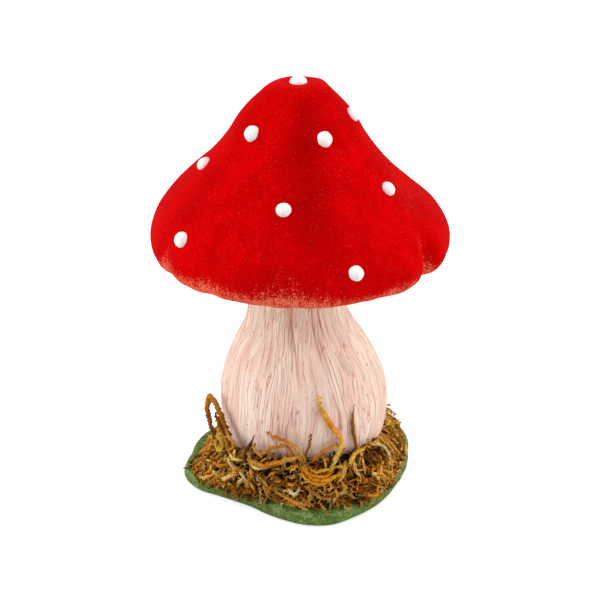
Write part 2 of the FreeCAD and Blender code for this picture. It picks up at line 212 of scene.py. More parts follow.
# %% Stand the camera
photo_side = 600
focal_pixels = 2290
camera_elevation = 24
camera_distance = 0.85
camera_target = Vector((0, 0, 74 * mm))


def make_camera():
    data = bpy.data.cameras.new("studio_camera")
    data.lens = data.sensor_width * focal_pixels / photo_side
    camera = bpy.data.objects.new("studio_camera", data)
    slope = math.radians(camera_elevation)
    back = Vector((0, -math.cos(slope), math.sin(slope)))
    camera.location = camera_target + back * camera_distance
    camera.rotation_euler = back.to_track_quat("Z", "Y").to_euler()
    bpy.context.scene.collection.objects.link(camera)
    bpy.context.scene.camera = camera
    return camera


camera = make_camera()
print(f"lens {camera.data.lens:.0f} mm, {camera_distance} m away")

# %% Hang the lamps
lamps = {
    "left_softbox": ((-1.14, -0.23, 0.52), 1.30, 13.0),
    "right_softbox": ((1.15, -0.21, 0.50), 1.30, 12.8),
    "top_softbox": ((0.0, 0.10, 1.15), 0.90, 4.4),
    "front_fill": ((0.05, -1.25, 0.75), 0.90, 0.4),
}


def hang_lamp(name, spot, side, power):
    data = bpy.data.lights.new(name, "AREA")
    data.size = side
    data.energy = power
    lamp = bpy.data.objects.new(name, data)
    lamp.location = spot
    lamp.rotation_euler = (lamp.location - camera_target).to_track_quat("Z", "Y").to_euler()
    bpy.context.scene.collection.objects.link(lamp)


for name, (spot, side, power) in lamps.items():
    hang_lamp(name, spot, side, power)
print(f"{len(lamps)} lamps, {sum(power for _, _, power in lamps.values()):.1f} W in all")

# %% Surround it with white
room_light = 0.362
seen_white = (1.0, 1.0, 1.0, 1.0)


def is_seen(graph):
    """1 for a ray from the camera, a reflection or a clear piece, and 0 for light that falls."""
    kinds = ("Is Camera Ray", "Is Glossy Ray", "Is Transmission Ray")
    camera_ray, glossy, clear = (graph.node("ShaderNodeLightPath", output=kind) for kind in kinds)
    settings = {"operation": "ADD", "use_clamp": True}
    return graph.node("ShaderNodeMath", settings, {0: camera_ray, 1: glossy + clear})


def make_surround():
    world = bpy.data.worlds.new("studio")
    bpy.context.scene.world = world
    graph = Graph(world)
    strength = room_light + (1 - room_light) * is_seen(graph)
    sky = graph.node("ShaderNodeBackground", inputs={"Color": seen_white, "Strength": strength})
    graph.close(sky, "ShaderNodeOutputWorld")


bpy.context.scene.view_settings.view_transform = "Standard"
make_surround()
print("room light", room_light)

# %% Lay the table
table_reach = 1.8
table_level = -0.05 * mm
table_glow = 0.62


def make_table():
    corners = [(x * table_reach, y * table_reach, table_level)
               for x, y in ((-1, -1), (1, -1), (1, 1), (-1, 1))]
    mesh = bpy.data.meshes.new("table_top")
    mesh.from_pydata(corners, [], [(0, 1, 2, 3)])
    material, graph = new_finish("white_table")
    glow = graph.node("ShaderNodeEmission", inputs={
        "Color": seen_white, "Strength": table_glow * is_seen(graph)})
    matt = graph.node("ShaderNodeBsdfDiffuse", inputs={"Color": swatch(225, 225, 225)})
    graph.close(graph.node("ShaderNodeAddShader", inputs={0: glow, 1: matt}))
    mesh.materials.append(material)
    table = bpy.data.objects.new("table_top", mesh)
    bpy.context.scene.collection.objects.link(table)


make_table()
print("table laid")

# %% [markdown]
# ## Helpers for smooth forms
#
# Most of this ornament is round but uneven. Each form could be sculpted, or it could be a few
# chosen rows with a smooth line run through them. Rows are easier to change and to compare with
# a photograph, so a profile is a short table of shares, and a closed table goes round the axis.
# A grid of points then becomes one mesh.

# %% Smooth lines through chosen values
def eased(at, values, wanted):
    """Values at the wanted places, on a smooth line through the given ones."""
    at, values = np.asarray(at, float), np.asarray(values, float)
    slope = np.gradient(values, at)
    after = np.clip(np.searchsorted(at, wanted, side="right"), 1, len(at) - 1)
    before = after - 1
    span = at[after] - at[before]
    t = np.clip((wanted - at[before]) / span, 0, 1)
    rise = values[after] - values[before]
    leave, arrive = slope[before] * span, slope[after] * span
    bend, settle = 3 * rise - 2 * leave - arrive, leave + arrive - 2 * rise
    return values[before] + t * (leave + t * (bend + t * settle))


def turned_from(azimuth, at):
    """Degrees from one azimuth to another, the short way round."""
    return (azimuth - at + 180) % 360 - 180


def eased_round(table, azimuth):
    """Value at each azimuth from a closed table of azimuth and value."""
    at, values = np.array(sorted(table), float).T
    around = np.concatenate([at - 360, at, at + 360])
    return eased(around, np.tile(values, 3), turned_from(azimuth, 0))


def eased_rows(rows, count, measured=2):
    """More rows along a smooth line through the given ones, evenly spaced along it.

    The first columns, as many as are measured, are places in one length."""
    rows = np.array(rows, float)
    apart = np.linalg.norm(np.diff(rows[:, :measured], axis=0), axis=1)
    along = np.concatenate([[0], np.cumsum(apart)])
    even = np.linspace(0, along[-1], count)
    return np.stack([eased(along, column, even) for column in rows.T], axis=1)


def smooth_step(value, low, high):
    """0 at low, 1 at high and eased between them."""
    t = np.clip((value - low) / (high - low), 0, 1)
    return t * t * (3 - 2 * t)


print("half way from 0 to 1 is", smooth_step(0.5, 0, 1))


# %% Swellings, waves, lumps and places round the axis
def swell(apart, width):
    """1 in the middle of a swelling and 0 well away from it."""
    return np.exp(-(apart / width) ** 2)


def waves(azimuth, table):
    """Sum of waves round the axis, from a table of count, height and phase in degrees."""
    return sum(height * np.cos(np.radians(count * azimuth + phase))
               for count, height, phase in table)


def round_azimuths(count):
    """Azimuths in degrees, evenly spaced once round the axis, as one row."""
    return np.linspace(-180, 180, count, endpoint=False)[None, :]


def lumps(points, size, seed):
    """Smooth noise of about -1 to 1 at each point, with lumps of a size in metres."""
    shift = Vector((seed * 7.3, seed * 3.1, seed * 5.7))
    flat = np.asarray(points).reshape(-1, 3) / size
    found = [noise.noise(Vector(point) + shift) for point in flat.tolist()]
    return np.array(found).reshape(np.shape(points)[:-1])


def polar(azimuth, radius, z):
    """Points at an azimuth in degrees, a radius and a level."""
    turn = np.radians(azimuth)
    return np.stack(np.broadcast_arrays(radius * np.cos(turn), radius * np.sin(turn), z), axis=-1)


print(f"a swelling falls to {swell(1, 1):.2f} at its width")


# %% Meshes from grids of points
def ring_faces(rows, columns, joined_ends=False):
    """Quads between level rings, as indices. The last ring can join on to the first."""
    index = np.arange(rows * columns).reshape(rows, columns)
    following = np.roll(index, -1, axis=0)
    if not joined_ends:
        index, following = index[:-1], following[:-1]
    corners = (index, np.roll(index, -1, axis=1), np.roll(following, -1, axis=1), following)
    return np.stack(corners, axis=-1).reshape(-1, 4).tolist()


def closed_skin_faces(rows, columns):
    """Faces of rings that run over an outside and back along the inside, shut at both ends."""
    ends = [list(range(columns)), list(range((rows - 1) * columns, rows * columns))]
    return ring_faces(rows, columns) + ends


def lined(outside, lining, marks):
    """Rings of an outside and its lining as one grid, with marks that are 0 on the lining."""
    plain = np.zeros(lining.shape[:2])
    marks = {name: np.concatenate([mark, plain]) for name, mark in marks.items()}
    return np.concatenate([outside, lining]), marks


def new_piece(name, points, faces, material, replaced, marks=None):
    """One smooth piece from points and faces, which stands for the measured nodes it replaces."""
    mesh = bpy.data.meshes.new(name)
    mesh.from_pydata(np.asarray(points).reshape(-1, 3).tolist(), [], faces)
    for mark, values in (marks or {}).items():
        values = np.asarray(values, np.float32)
        plain = values.size == len(mesh.vertices)
        kind, field = ("FLOAT", "value") if plain else ("FLOAT_COLOR", "color")
        mesh.attributes.new(mark, kind, "POINT").data.foreach_set(field, values.ravel())
    work = bmesh.new()
    work.from_mesh(mesh)
    bmesh.ops.recalc_face_normals(work, faces=work.faces)
    work.to_mesh(mesh)
    work.free()
    mesh.polygons.foreach_set("use_smooth", [True] * len(mesh.polygons))
    mesh.materials.append(material)
    piece = bpy.data.objects.new(name, mesh)
    bpy.context.scene.collection.objects.link(piece)
    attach(piece, "root")
    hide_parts(*replaced)
    return piece


def size_line(piece):
    box = [round(side / mm, 1) for side in piece.dimensions]
    return f"{piece.name}: {len(piece.data.polygons)} faces, {box} mm"


# %% [markdown]
# ## The velvet cap
#
# The cover is one cut of red velvet, stretched over the foam bell. Its spare cloth is gathered
# into tucks round the rim and turned in underneath. A cloth simulation could drape it, but the
# cloth is glued and pulled tight, so what shows is the bell itself with sharp short tucks, and
# those are easier to set one by one. Each tuck is drawn in along a cusp, because two puffed edges
# of cloth meet in it. The pile is worn where it is creased and along the rim, and there the
# paler backing shows through in specks. Three values are kept on the mesh for the finish:
# `worn`, bands of painted shade on the pile, and spots of more painted glints of single hairs.

# %% Rows of the bell
cap_low, cap_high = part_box("cap_velvet_cover")
cap_height = cap_high.z - cap_low.z
cap_radius = 54.8 * mm
velvet_thickness = 1.2 * mm
velvet_opening_share = 0.766

# Radius as a share of cap_radius, level as a share of cap_height, lean as a share of cap_radius
cap_profile_shares = [
    (0.008, 1.000, -0.012), (0.060, 1.000, -0.012), (0.130, 0.997, -0.012), (0.200, 0.973, -0.016),
    (0.264, 0.924, -0.020), (0.378, 0.818, -0.022), (0.466, 0.699, -0.024), (0.580, 0.579, -0.032),
    (0.710, 0.471, -0.048), (0.842, 0.365, -0.040), (0.950, 0.264, -0.016), (1.000, 0.152, 0.000),
    (0.990, 0.088, 0.000), (0.958, 0.041, 0.000), (0.902, 0.012, 0.000), (0.840, 0.000, 0.000),
    (velvet_opening_share, 0.000, 0.000),
]

# Azimuth, and depth as a share of tuck_depth, negative for the puff beside the deepest one
tuck_shares = [
    (-30, 1.18), (-47, -0.30), (-92, 0.12), (-128, 0.20), (-152, 0.24),
    (22, 0.35), (67, 0.65), (118, 0.40), (166, 0.55),
]
tuck_depth = 4.6 * mm
tuck_half_width = 4.4 * mm
tuck_cusp_width = 1.9 * mm
tuck_cusp_share = 0.12
tuck_lip_share = 0.13
tuck_rise_share = 0.36
cap_wave_shares = [(3, 0.007, 40), (5, 0.005, 115)]


def tuck_at(azimuth, radius, level):
    """How far the tucks draw the cloth in, and how sharply, at places on the bell."""
    fade = smooth_step(-level, -tuck_rise_share, -tuck_lip_share)
    drawn, crease = 0, 0
    for at, share in tuck_shares:
        apart = np.abs(np.radians(turned_from(azimuth, at))) * radius
        cusp = np.exp(-apart / tuck_cusp_width)
        puff = swell(apart, tuck_half_width) + tuck_cusp_share * cusp
        drawn = drawn + tuck_depth * share * puff
        crease = crease + max(share, 0) * cusp
    return drawn * fade, crease * fade


def profile_facing(rows):
    """Outwards and upwards parts of the direction square to a profile of radius and level."""
    across, climb = np.gradient(rows[:, 0]), np.gradient(rows[:, 1])
    length = np.hypot(across, climb)
    return -climb / length, across / length


print(f"bell {cap_height / mm:.1f} mm high over {len(cap_profile_shares)} rows")

# %% Where the pile is worn, and where shade and glints are painted on it
# Azimuth, and the level up to which the pile is worn, as a share of cap_height
worn_shares = [
    (-176, 0.04), (-162, 0.06), (-153, 0.12), (-147, 0.10), (-136, 0.100), (-122, 0.100),
    (-112, 0.090), (-104, 0.095), (-99, 0.115), (-95, 0.125), (-91, 0.11), (-84, 0.085),
    (-70, 0.065), (-58, 0.06), (-50, 0.085), (-44, 0.08), (-38, 0.06), (-34, 0.06),
    (-31, 0.11), (-27, 0.08), (-22, 0.04), (-10, 0.03), (20, 0.10), (44, 0.05),
    (67, 0.13), (90, 0.05), (118, 0.10), (142, 0.05), (166, 0.12),
]

# Azimuth, and the level up to which a few backing threads show, as a share of cap_height
thin_shares = [
    (-176, 0.08), (-160, 0.11), (-151, 0.22), (-142, 0.16), (-122, 0.17), (-108, 0.15),
    (-101, 0.22), (-95, 0.29), (-89, 0.20), (-80, 0.13), (-60, 0.10), (-50, 0.13), (-40, 0.12),
    (-34, 0.14), (-30.5, 0.26), (-26, 0.18), (-21, 0.08), (-8, 0.06), (20, 0.16), (44, 0.10),
    (67, 0.20), (90, 0.10), (118, 0.16), (142, 0.10), (166, 0.16),
]

# Under the rim the pile is sheltered and stays whole: more and more so from the outer to the
# inner of these shares of cap_radius, and only below this share of cap_height
sheltered_inside, sheltered_outside, sheltered_level = 0.78, 0.88, 0.1

# Azimuth, half width in degrees and strength of bands where the pile is painted darker, as shade
pile_shade_bands = [(-81, 15, 1.0), (-24, 9, 0.35), (-150, 8, 0.30), (60, 14, 0.7), (140, 12, 0.6)]

# Azimuth, level, half width in degrees, half height and strength of spots with more painted glints
# of hairs
hair_glint_spots = [
    (-14, 0.45, 9, 0.06, 1.0), (-24, 0.39, 6, 0.04, 0.7), (2, 0.30, 9, 0.10, 0.7),
    (-168, 0.24, 9, 0.10, 0.6), (-84, 0.12, 9, 0.07, 0.6), (-116, 0.10, 9, 0.06, 0.5),
    (48, 0.40, 12, 0.08, 0.8), (128, 0.46, 14, 0.06, 0.8),
]


def near_top(level):
    """0 on the slope of the bell and 1 on its crown."""
    return smooth_step(level, 0.90, 0.99)


def pile_marks(azimuth, radius, level, crease):
    """Where the pile is worn, and where shade and glints of hairs are painted on it, at places on
    the bell.
    """
    worn = smooth_step(eased_round(worn_shares, azimuth) - level, -0.07, 0.06) + 0.30 * crease
    thin = smooth_step(eased_round(thin_shares, azimuth) - level, -0.05, 0.06)
    worn += 0.40 * thin * (1 - np.clip(worn, 0, 1))
    open_air = smooth_step(radius / cap_radius, sheltered_inside, sheltered_outside)
    worn *= np.where(level < sheltered_level, open_air, 1)
    # Painted shade: bands where the pile is darker, kept off the rim and the crown
    lay = sum(share * swell(turned_from(azimuth, at), width)
              for at, width, share in pile_shade_bands)
    lay = lay * smooth_step(level, 0.12, 0.42) * (1 - near_top(level))
    # Spots where more painted glints of single hairs show
    ruffle = sum(share * swell(turned_from(azimuth, at), width) * swell(level - height, tall)
                 for at, height, width, tall, share in hair_glint_spots)
    return {"worn": worn, "lay": lay, "ruffle": ruffle}


print(f"{len(pile_shade_bands)} flat bands and {len(hair_glint_spots)} ruffled spots")

# %% Cloth over the bell
cap_columns = 320
cap_rows_outside = 156
cap_lining_step = 8

# Lumps of the foam that show through the cloth, and finer ones along the rim
broad_lump, broad_lump_size = 0.35 * mm, 26 * mm
rim_lump, rim_lump_size = 0.34 * mm, 6 * mm

# A small puff of cloth beside the crown: its rise, its width and its place from the axis
crown_puff, crown_puff_size, crown_puff_spot = 0.65 * mm, 2.8 * mm, (7.8 * mm, 8.0 * mm)


def bell_points(rows, inset, azimuth):
    """Points of the bell, set in square to its surface, with their tuck creases."""
    radius, z, lean, level, out, up = (column[:, None] for column in rows.T)
    drawn, crease = tuck_at(azimuth, radius, level)
    reach = (radius - inset * out) * (1 + waves(azimuth, cap_wave_shares)) - drawn
    points = polar(azimuth, reach, z - inset * up)
    points[..., 0] += lean
    return points, crease


def bell_rows(count):
    """Rows of the bell in metres: radius, level, lean, level share, and the way that it faces."""
    radius, level, lean = eased_rows(cap_profile_shares, count).T
    rows = np.stack([radius * cap_radius, cap_low.z + level * cap_height], axis=1)
    out, up = profile_facing(rows)
    return np.stack([*rows.T, lean * cap_radius, level, out, up], axis=1)


def velvet_points():
    """Rings of the cloth and of its lining, and the marks of its pile."""
    azimuth = round_azimuths(cap_columns)
    rows = bell_rows(cap_rows_outside)
    points, crease = bell_points(rows, 0, azimuth)
    radius, level, out, up = (rows[:, column][:, None] for column in (0, 3, 4, 5))
    near_rim = smooth_step(-level, -0.22, -0.04)
    lift = broad_lump * lumps(points, broad_lump_size, 1) * (1 - near_top(level))
    lift += rim_lump * near_rim * lumps(points, rim_lump_size, 2)
    lift *= 1 - 0.9 * np.clip(crease, 0, 1)
    from_puff = np.linalg.norm(points[..., :2] - crown_puff_spot, axis=-1)
    lift += crown_puff * swell(from_puff, crown_puff_size)
    points += polar(azimuth, out, up) * lift[..., None]
    lining, _ = bell_points(rows[::-cap_lining_step], velvet_thickness, azimuth)
    return lined(points, lining, pile_marks(azimuth, radius, level, crease))


cloth_points, cloth_marks = velvet_points()
worn_part = np.mean(cloth_marks["worn"] > 0.5)
print(f"{cloth_points.shape[0]} rings of {cap_columns} points, worn on {worn_part:.0%} of them")

# %% [markdown]
# ### Velvet as a finish
#
# Velvet is dark where one looks straight into the pile and glows at a slant, where the sides of
# the hairs catch the light. Gloss can't do that, but sheen is made for it, so the surface has a
# strong red sheen and no gloss. The dye varies a little and hairs lie this way and that in
# patches. Broad bands of the pile are painted darker, as shade, and painted glints of single pale
# hairs stand out. Where the pile is worn the salmon backing shows.

# %% Mix the velvet
def velvet_finish():
    material, graph = new_finish("red_pile_velvet")
    place = graph.place()
    patches = graph.cloud(place, 14.0, 3.0)
    brushed = graph.cloud(graph.place((1, 1, 0.45)), 3.2, 3.0, 0.6)
    pile = graph.cloud(place, 0.55, 2.0, 0.7)
    shade = 0.32 * patches + 0.20 * brushed + 0.48 * pile
    dye = graph.mix(swatch(184, 0, 2), swatch(222, 1, 5), graph.step(shade, 0.38, 0.66))
    # Painted shade: the pile is darker in a few broad bands round the bell
    dye = graph.mix(dye, swatch(150, 0, 2), 0.62 * graph.attribute("lay"))
    # Painted highlight: pale specks of single hairs that catch the light, more in a few spots
    stray = graph.cloud(place, 0.42, 0.0) + 0.17 * graph.attribute("ruffle")
    hairs = graph.step(stray, 0.74, 0.82)
    dye = graph.mix(dye, swatch(240, 84, 78), 0.36 * hairs)
    worn = graph.attribute("worn")
    wisps = graph.cloud(graph.place((1, 1, 0.35)), 1.5, 2.0, 0.6)
    specks = 0.9 * graph.cloud(graph.place((1, 1, 0.6)), 0.42, 2.0, 0.7)
    bare = graph.step(specks + 0.36 * worn + 0.4 * wisps, 0.90, 1.06)
    bare = bare * graph.step(worn, 0.02, 0.30)
    backing = graph.mix(swatch(238, 84, 50), swatch(248, 160, 122), pile)
    dye = graph.mix(dye, backing, bare)
    graph.finish(
        Base_Color=dye, Roughness=0.95, Specular_IOR_Level=0.0,
        Sheen_Weight=1.0, Sheen_Roughness=0.36, Sheen_Tint=(1.0, 0.035, 0.035, 1.0),
        Normal=graph.relief(pile + 0.8 * graph.cloud(place, 1.3), 0.16))
    return material


def make_cover():
    faces = closed_skin_faces(cloth_points.shape[0], cap_columns)
    cover = new_piece("velvet_cover", cloth_points, faces, velvet_finish(),
                      ["cap_velvet_cover"], cloth_marks)
    return cover


cover = make_cover()
print(size_line(cover))

# %% [markdown]
# ## White dots
#
# The dots are small domes, cut a little unevenly and pressed into the pile, so the velvet hides
# their lower edge. The measured model has a plain dome at each place. The script asks where
# that dome is, finds the nearest point on the finished cloth and sets a dome there, square to
# the cloth. Nothing is typed twice, and a dot follows the cloth if the cap changes.

# %% Dome of a dot
dot_count = 18
dot_radius = 2.9 * mm
crown_dot_radius = 3.25 * mm
dot_height = 2.1 * mm
dot_sink = 0.35 * mm
dot_rows, dot_columns = 9, 28
dot_seed = 11


def dot_points(radius, draw):
    """Rings of a soft-edged dome, outermost first, in its own frame with z outwards."""
    azimuth = np.linspace(0, 360, dot_columns, endpoint=False)[None, :]
    share = np.cos(np.linspace(0, math.pi / 2 * 0.97, dot_rows))[:, None]
    uneven = [(count, draw.uniform(0.006, 0.022), draw.uniform(0, 360)) for count in (2, 3, 5)]
    reach = share * radius * (1 + waves(azimuth, uneven))
    lean = 0.06 * share * np.cos(np.radians(azimuth - draw.uniform(0, 360)))
    rise = (1 - share ** 2.4) ** 0.52 * (1 + lean)
    return polar(azimuth, reach, rise * (dot_height + dot_sink) - dot_sink)


def dot_finish():
    material, graph = new_finish("white_dot")
    place = graph.place()
    grain = graph.cloud(place, 0.8, 3.0)
    white = graph.mix(swatch(238, 237, 234), swatch(250, 250, 249), graph.step(grain, 0.30, 0.62))
    graph.finish(
        Base_Color=white, Roughness=0.48 + 0.2 * grain, Specular_IOR_Level=0.3,
        Normal=graph.relief(grain, 0.05))
    return material


# %% Press the dots into the pile
def make_dots():
    draw = np.random.default_rng(dot_seed)
    material = dot_finish()
    faces = closed_skin_faces(dot_rows, dot_columns)
    cloth = BVHTree.FromObject(cover, bpy.context.evaluated_depsgraph_get())
    for number in range(1, dot_count + 1):
        node = f"white_dot_{number:02d}"
        low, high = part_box(node)
        seat, normal, _, _ = cloth.find_nearest((low + high) / 2)
        radius = crown_dot_radius if number == 1 else dot_radius * draw.uniform(0.95, 1.05)
        turn = normal.to_track_quat("Z", "Y").to_matrix()
        points = dot_points(radius, draw) @ np.array(turn).T + np.array(seat)
        new_piece(f"dome_{number:02d}", points, faces, material, [node])


make_dots()
print(f"{dot_count} dots pressed in")

# %% [markdown]
# ## Under the cap
#
# A disc of pleated paper hides the turned-in edge of the velvet. It is out of sight in the
# photograph, but a buyer who picks the ornament up sees it at once. A ring of points with a
# shallow wave gives real pleats, which a bump alone would not show at a slant.

# %% Pleat the disc
disc_low, disc_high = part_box("cap_underside_disc")
disc_outer_radius = (disc_high.x - disc_low.x) / 2
disc_inner_radius = 17.0 * mm
pleat_count = 56
pleat_depth = 0.35 * mm
disc_columns, disc_rows = pleat_count * 8, 9

# The neck of the stem stands a little off the axis, and the middle of the disc goes with it
neck_lean = -1.252 * mm


def make_disc():
    azimuth = np.linspace(0, 360, disc_columns, endpoint=False)[None, :]
    share = np.linspace(0, 1, disc_rows)[:, None]
    radius = disc_inner_radius + share * (disc_outer_radius - disc_inner_radius)
    wave = np.cos(np.radians(pleat_count * azimuth)) * pleat_depth / 2
    under = polar(azimuth, radius, disc_low.z + pleat_depth / 2 + wave)
    over = polar(azimuth, radius[::-1], disc_high.z)
    points = np.concatenate([under, over])
    from_edge = (points[..., :2] ** 2).sum(axis=-1) ** 0.5 / disc_outer_radius
    points[..., 0] += neck_lean * (1 - from_edge)
    material, graph = new_finish("pleated_paper")
    place = graph.place()
    fibre = graph.cloud(place, 0.5, 3.0)
    graph.finish(
        Base_Color=graph.mix(swatch(224, 202, 176), swatch(244, 228, 208), fibre),
        Roughness=0.85, Specular_IOR_Level=0.2, Normal=graph.relief(fibre, 0.08))
    faces = ring_faces(len(points), disc_columns, joined_ends=True)
    return new_piece("pleated_underside", points, faces, material,
                     ["cap_underside_disc"])


print(size_line(make_disc()))

# %% [markdown]
# ## The paper stem
#
# Thin paper was wetted and drawn up round the pear of foam. Where the pear narrows, the spare
# paper gathers into creases that run up into the neck. The creases wander, split and fade
# towards the bulge. Each could be drawn by hand, but there are hundreds. Noise that is stretched
# upwards gives nearly all of them: where it passes through nothing it leaves a thin line, and
# that line becomes a crease. A table says where they stand in bundles and where the paper is
# smooth. Only the long creases that the eye follows from the neck to the bulge are listed one by
# one, and the whole run of the paper drifts a little to the side on its way up.

# %% Rows of the pear
stem_low, stem_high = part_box("stem_paper_wrap")
stem_height = stem_high.z - stem_low.z
stem_bulge_radius = 31.3 * mm
stem_paper_thickness = 0.7 * mm

# Radius and lean as shares of stem_bulge_radius, level as a share of the height, crease depth
stem_profile_shares = [
    (0.720, 0.000, 0.024, 0.20), (0.810, 0.055, 0.034, 0.20), (0.906, 0.135, 0.044, 0.20),
    (0.980, 0.240, 0.050, 0.20), (1.000, 0.330, 0.048, 0.22), (0.985, 0.410, 0.040, 0.28),
    (0.906, 0.505, 0.026, 0.40), (0.777, 0.603, 0.010, 0.58), (0.627, 0.700, -0.016, 0.80),
    (0.558, 0.775, -0.038, 1.00), (0.524, 0.850, -0.045, 1.00), (0.514, 0.940, -0.044, 1.00),
    (0.514, 1.000, -0.040, 1.00),
]
stem_reaches, stem_levels, stem_leans, stem_crease_shares = zip(*stem_profile_shares)


def stem_radius(z):
    """Radius of the paper at a level, its creases left out."""
    level = (z - stem_low.z) / stem_height
    return stem_bulge_radius * np.interp(level, stem_levels, stem_reaches)


print(f"pear {stem_height / mm:.1f} mm high over {len(stem_profile_shares)} rows")

# %% Where the creases run
# Layers of creases: lines round the stem per radian, waves up its height, depth, sharpness
crease_layers = [
    (8.0, 1.0, 0.40 * mm, 0.08), (17.0, 1.9, 0.30 * mm, 0.13), (36.0, 3.6, 0.12 * mm, 0.24),
]
first_crease_seed, drift_seed = 3, 31

# Azimuth, and how thickly creases gather there: 1 in a bundle, 0 on a smooth band
gather_shares = [
    (-178, 0.70), (-165, 0.90), (-152, 0.25), (-140, 0.05), (-130, 0.30), (-118, 0.75),
    (-104, 0.90), (-94, 1.00), (-84, 0.25), (-74, 0.30), (-64, 0.90), (-50, 0.85), (-36, 0.50),
    (-18, 0.35), (0, 0.60), (22, 0.90), (42, 0.30), (62, 0.85), (84, 0.50), (104, 0.90),
    (124, 0.30), (144, 0.80), (162, 0.50),
]

# Azimuth of each long crease, its strength and the level at which it ends
long_creases = [
    (-170, 0.7, 0.40), (-158, 0.9, 0.30), (-149, 1.0, 0.12), (-127, 0.9, 0.26), (-116, 0.6, 0.44),
    (-104, 0.7, 0.38), (-97, 1.0, 0.22), (-91, 0.9, 0.34), (-70, 0.9, 0.20), (-62, 1.0, 0.30),
    (-52, 0.7, 0.16), (-38, 0.6, 0.34), (-20, 0.7, 0.40), (8, 0.9, 0.30), (30, 0.8, 0.38),
    (58, 1.0, 0.26), (80, 0.7, 0.42), (102, 0.9, 0.30), (128, 0.8, 0.36), (150, 0.9, 0.28),
]
long_crease_depth, long_crease_width = 0.40 * mm, 0.34 * mm

# Each long crease fades in over this share of the height above its end, and sways from side to
# side by some degrees: radians of its wave up the stem, and from one crease to the next
long_crease_fade = 0.24
sway_degrees, sway_up, sway_apart = 2.6, 6.5, 1.7

# Degrees by which the run of the paper drifts, and how fast that changes round and up the stem
drift_degrees, drift_round, drift_up = 11, 1.5, 2.2


print(f"{len(long_creases)} long creases and {len(crease_layers)} layers of finer ones")


# %% Trace the creases
def drift(azimuth, level):
    """Degrees by which the run of the paper wanders to the side on its way up."""
    return drift_degrees * lumps(polar(azimuth, drift_round, drift_up * level), 1.0, drift_seed)


def long_crease_marks(azimuth, level, radius):
    """1 along each long crease, which sways a little, and 0 away from them."""
    marks = 0
    for number, (at, share, end) in enumerate(long_creases):
        line = at + sway_degrees * np.sin(sway_up * level + sway_apart * number)
        apart = np.radians(turned_from(azimuth, line)) * radius * stem_bulge_radius
        fade = smooth_step(level, end, end + long_crease_fade)
        marks = marks + share * swell(apart, long_crease_width) * fade
    return marks


def creases(azimuth, level, per_radian, waves_up, sharpness, seed):
    """1 in the middle of a crease and 0 between creases."""
    wander = 0.05 * np.sin(4.1 * level + seed) + 0.03 * np.sin(9.7 * level + 2 * seed)
    spots = polar(azimuth + np.degrees(wander), per_radian, waves_up * level)
    return np.clip(1 - np.abs(lumps(spots, 1.0, seed)) / sharpness, 0, 1) ** 1.6


print(f"the paper drifts by up to about {drift_degrees} degrees")

# %% Press the creases into the paper
stem_columns, stem_rows, stem_lining_step = 600, 152, 19

# How far the crests between creases stand out, at full crease depth
crest_rise = 0.45 * mm


def stem_points():
    """Rings of the paper and of its inside, and the marks of its creases."""
    azimuth = round_azimuths(stem_columns)
    level = np.linspace(0, 1, stem_rows)[:, None]
    radius, lean, depth = (eased(stem_levels, shares, level)
                           for shares in (stem_reaches, stem_leans, stem_crease_shares))
    run = azimuth + drift(azimuth, level)
    gathered = np.clip(eased_round(gather_shares, run), 0, 1)
    long = long_crease_marks(run, level, radius)
    drawn, crease = long_crease_depth * long, 1.2 * long
    deepest = crease_layers[0][2]
    for seed, layer in enumerate(crease_layers, first_crease_seed):
        per_radian, waves_up, layer_depth, sharpness = layer
        lines = creases(run, level, per_radian, waves_up, sharpness, seed)
        lines *= 0.25 + 0.75 * gathered
        drawn = drawn + layer_depth * lines
        crease = crease + lines * layer_depth / deepest
    z = stem_low.z + level * stem_height
    reach = stem_bulge_radius * radius
    points = polar(azimuth, reach + depth * (crest_rise - drawn), z)
    lining = polar(azimuth, reach - stem_paper_thickness, z)
    for skin in (points, lining):
        skin[..., 0] += lean * stem_bulge_radius
    # Crease depth, deepest towards the neck, which the finish paints darker as shade
    marks = {"crease": crease * depth ** 0.75, "gathered": gathered}
    return lined(points, lining[::-stem_lining_step], marks)


paper_points, paper_marks = stem_points()
print(f"{paper_points.shape[0]} rings, mean crease {paper_marks['crease'].mean():.2f}")

# %% [markdown]
# ### Paper as a finish
#
# The paper is a warm cream with a pink cast, and its creases are painted darker, as shade. Thin
# fibres run up it. Small rose specks and dashes are scattered over it, longer than they are
# wide, and there are a few brown ones. Fine lines that are too small for the mesh are a bump,
# and they are painted darker too, as shade in them, most where the creases gather.

# %% Tint the paper
# Lines of the finish sway by up to about half this many millimetres, over lumps of this size
line_sway, line_sway_size = 7.0, 19


def upright_place(graph, round_stretch, up_stretch):
    """Place on an upright round form whose pattern runs up and down it without a seam."""
    spot = graph.place()
    drawn_aside = graph.node("ShaderNodeTexNoise", inputs={
        "Vector": spot, "Scale": 1 / line_sway_size, "Detail": 1.0}, output="Color")
    both_ways = graph.vector("SUBTRACT", drawn_aside, (0.5, 0.5, 0.5))
    spot = graph.vector("ADD", spot, graph.vector("SCALE", both_ways, Scale=line_sway))
    around = graph.vector("NORMALIZE", graph.vector("MULTIPLY", spot, (1, 1, 0)))
    wide = graph.vector("SCALE", around, Scale=round_stretch)
    return graph.vector("ADD", wide, graph.vector("MULTIPLY", spot, (0, 0, up_stretch)))


def thin_lines(graph, pattern, half_width):
    """1 along the lines where a pattern passes through its middle, 0 away from them."""
    rising = graph.step(pattern, 0.50 - half_width, 0.50)
    return rising * (1 - graph.step(pattern, 0.50, 0.50 + half_width))


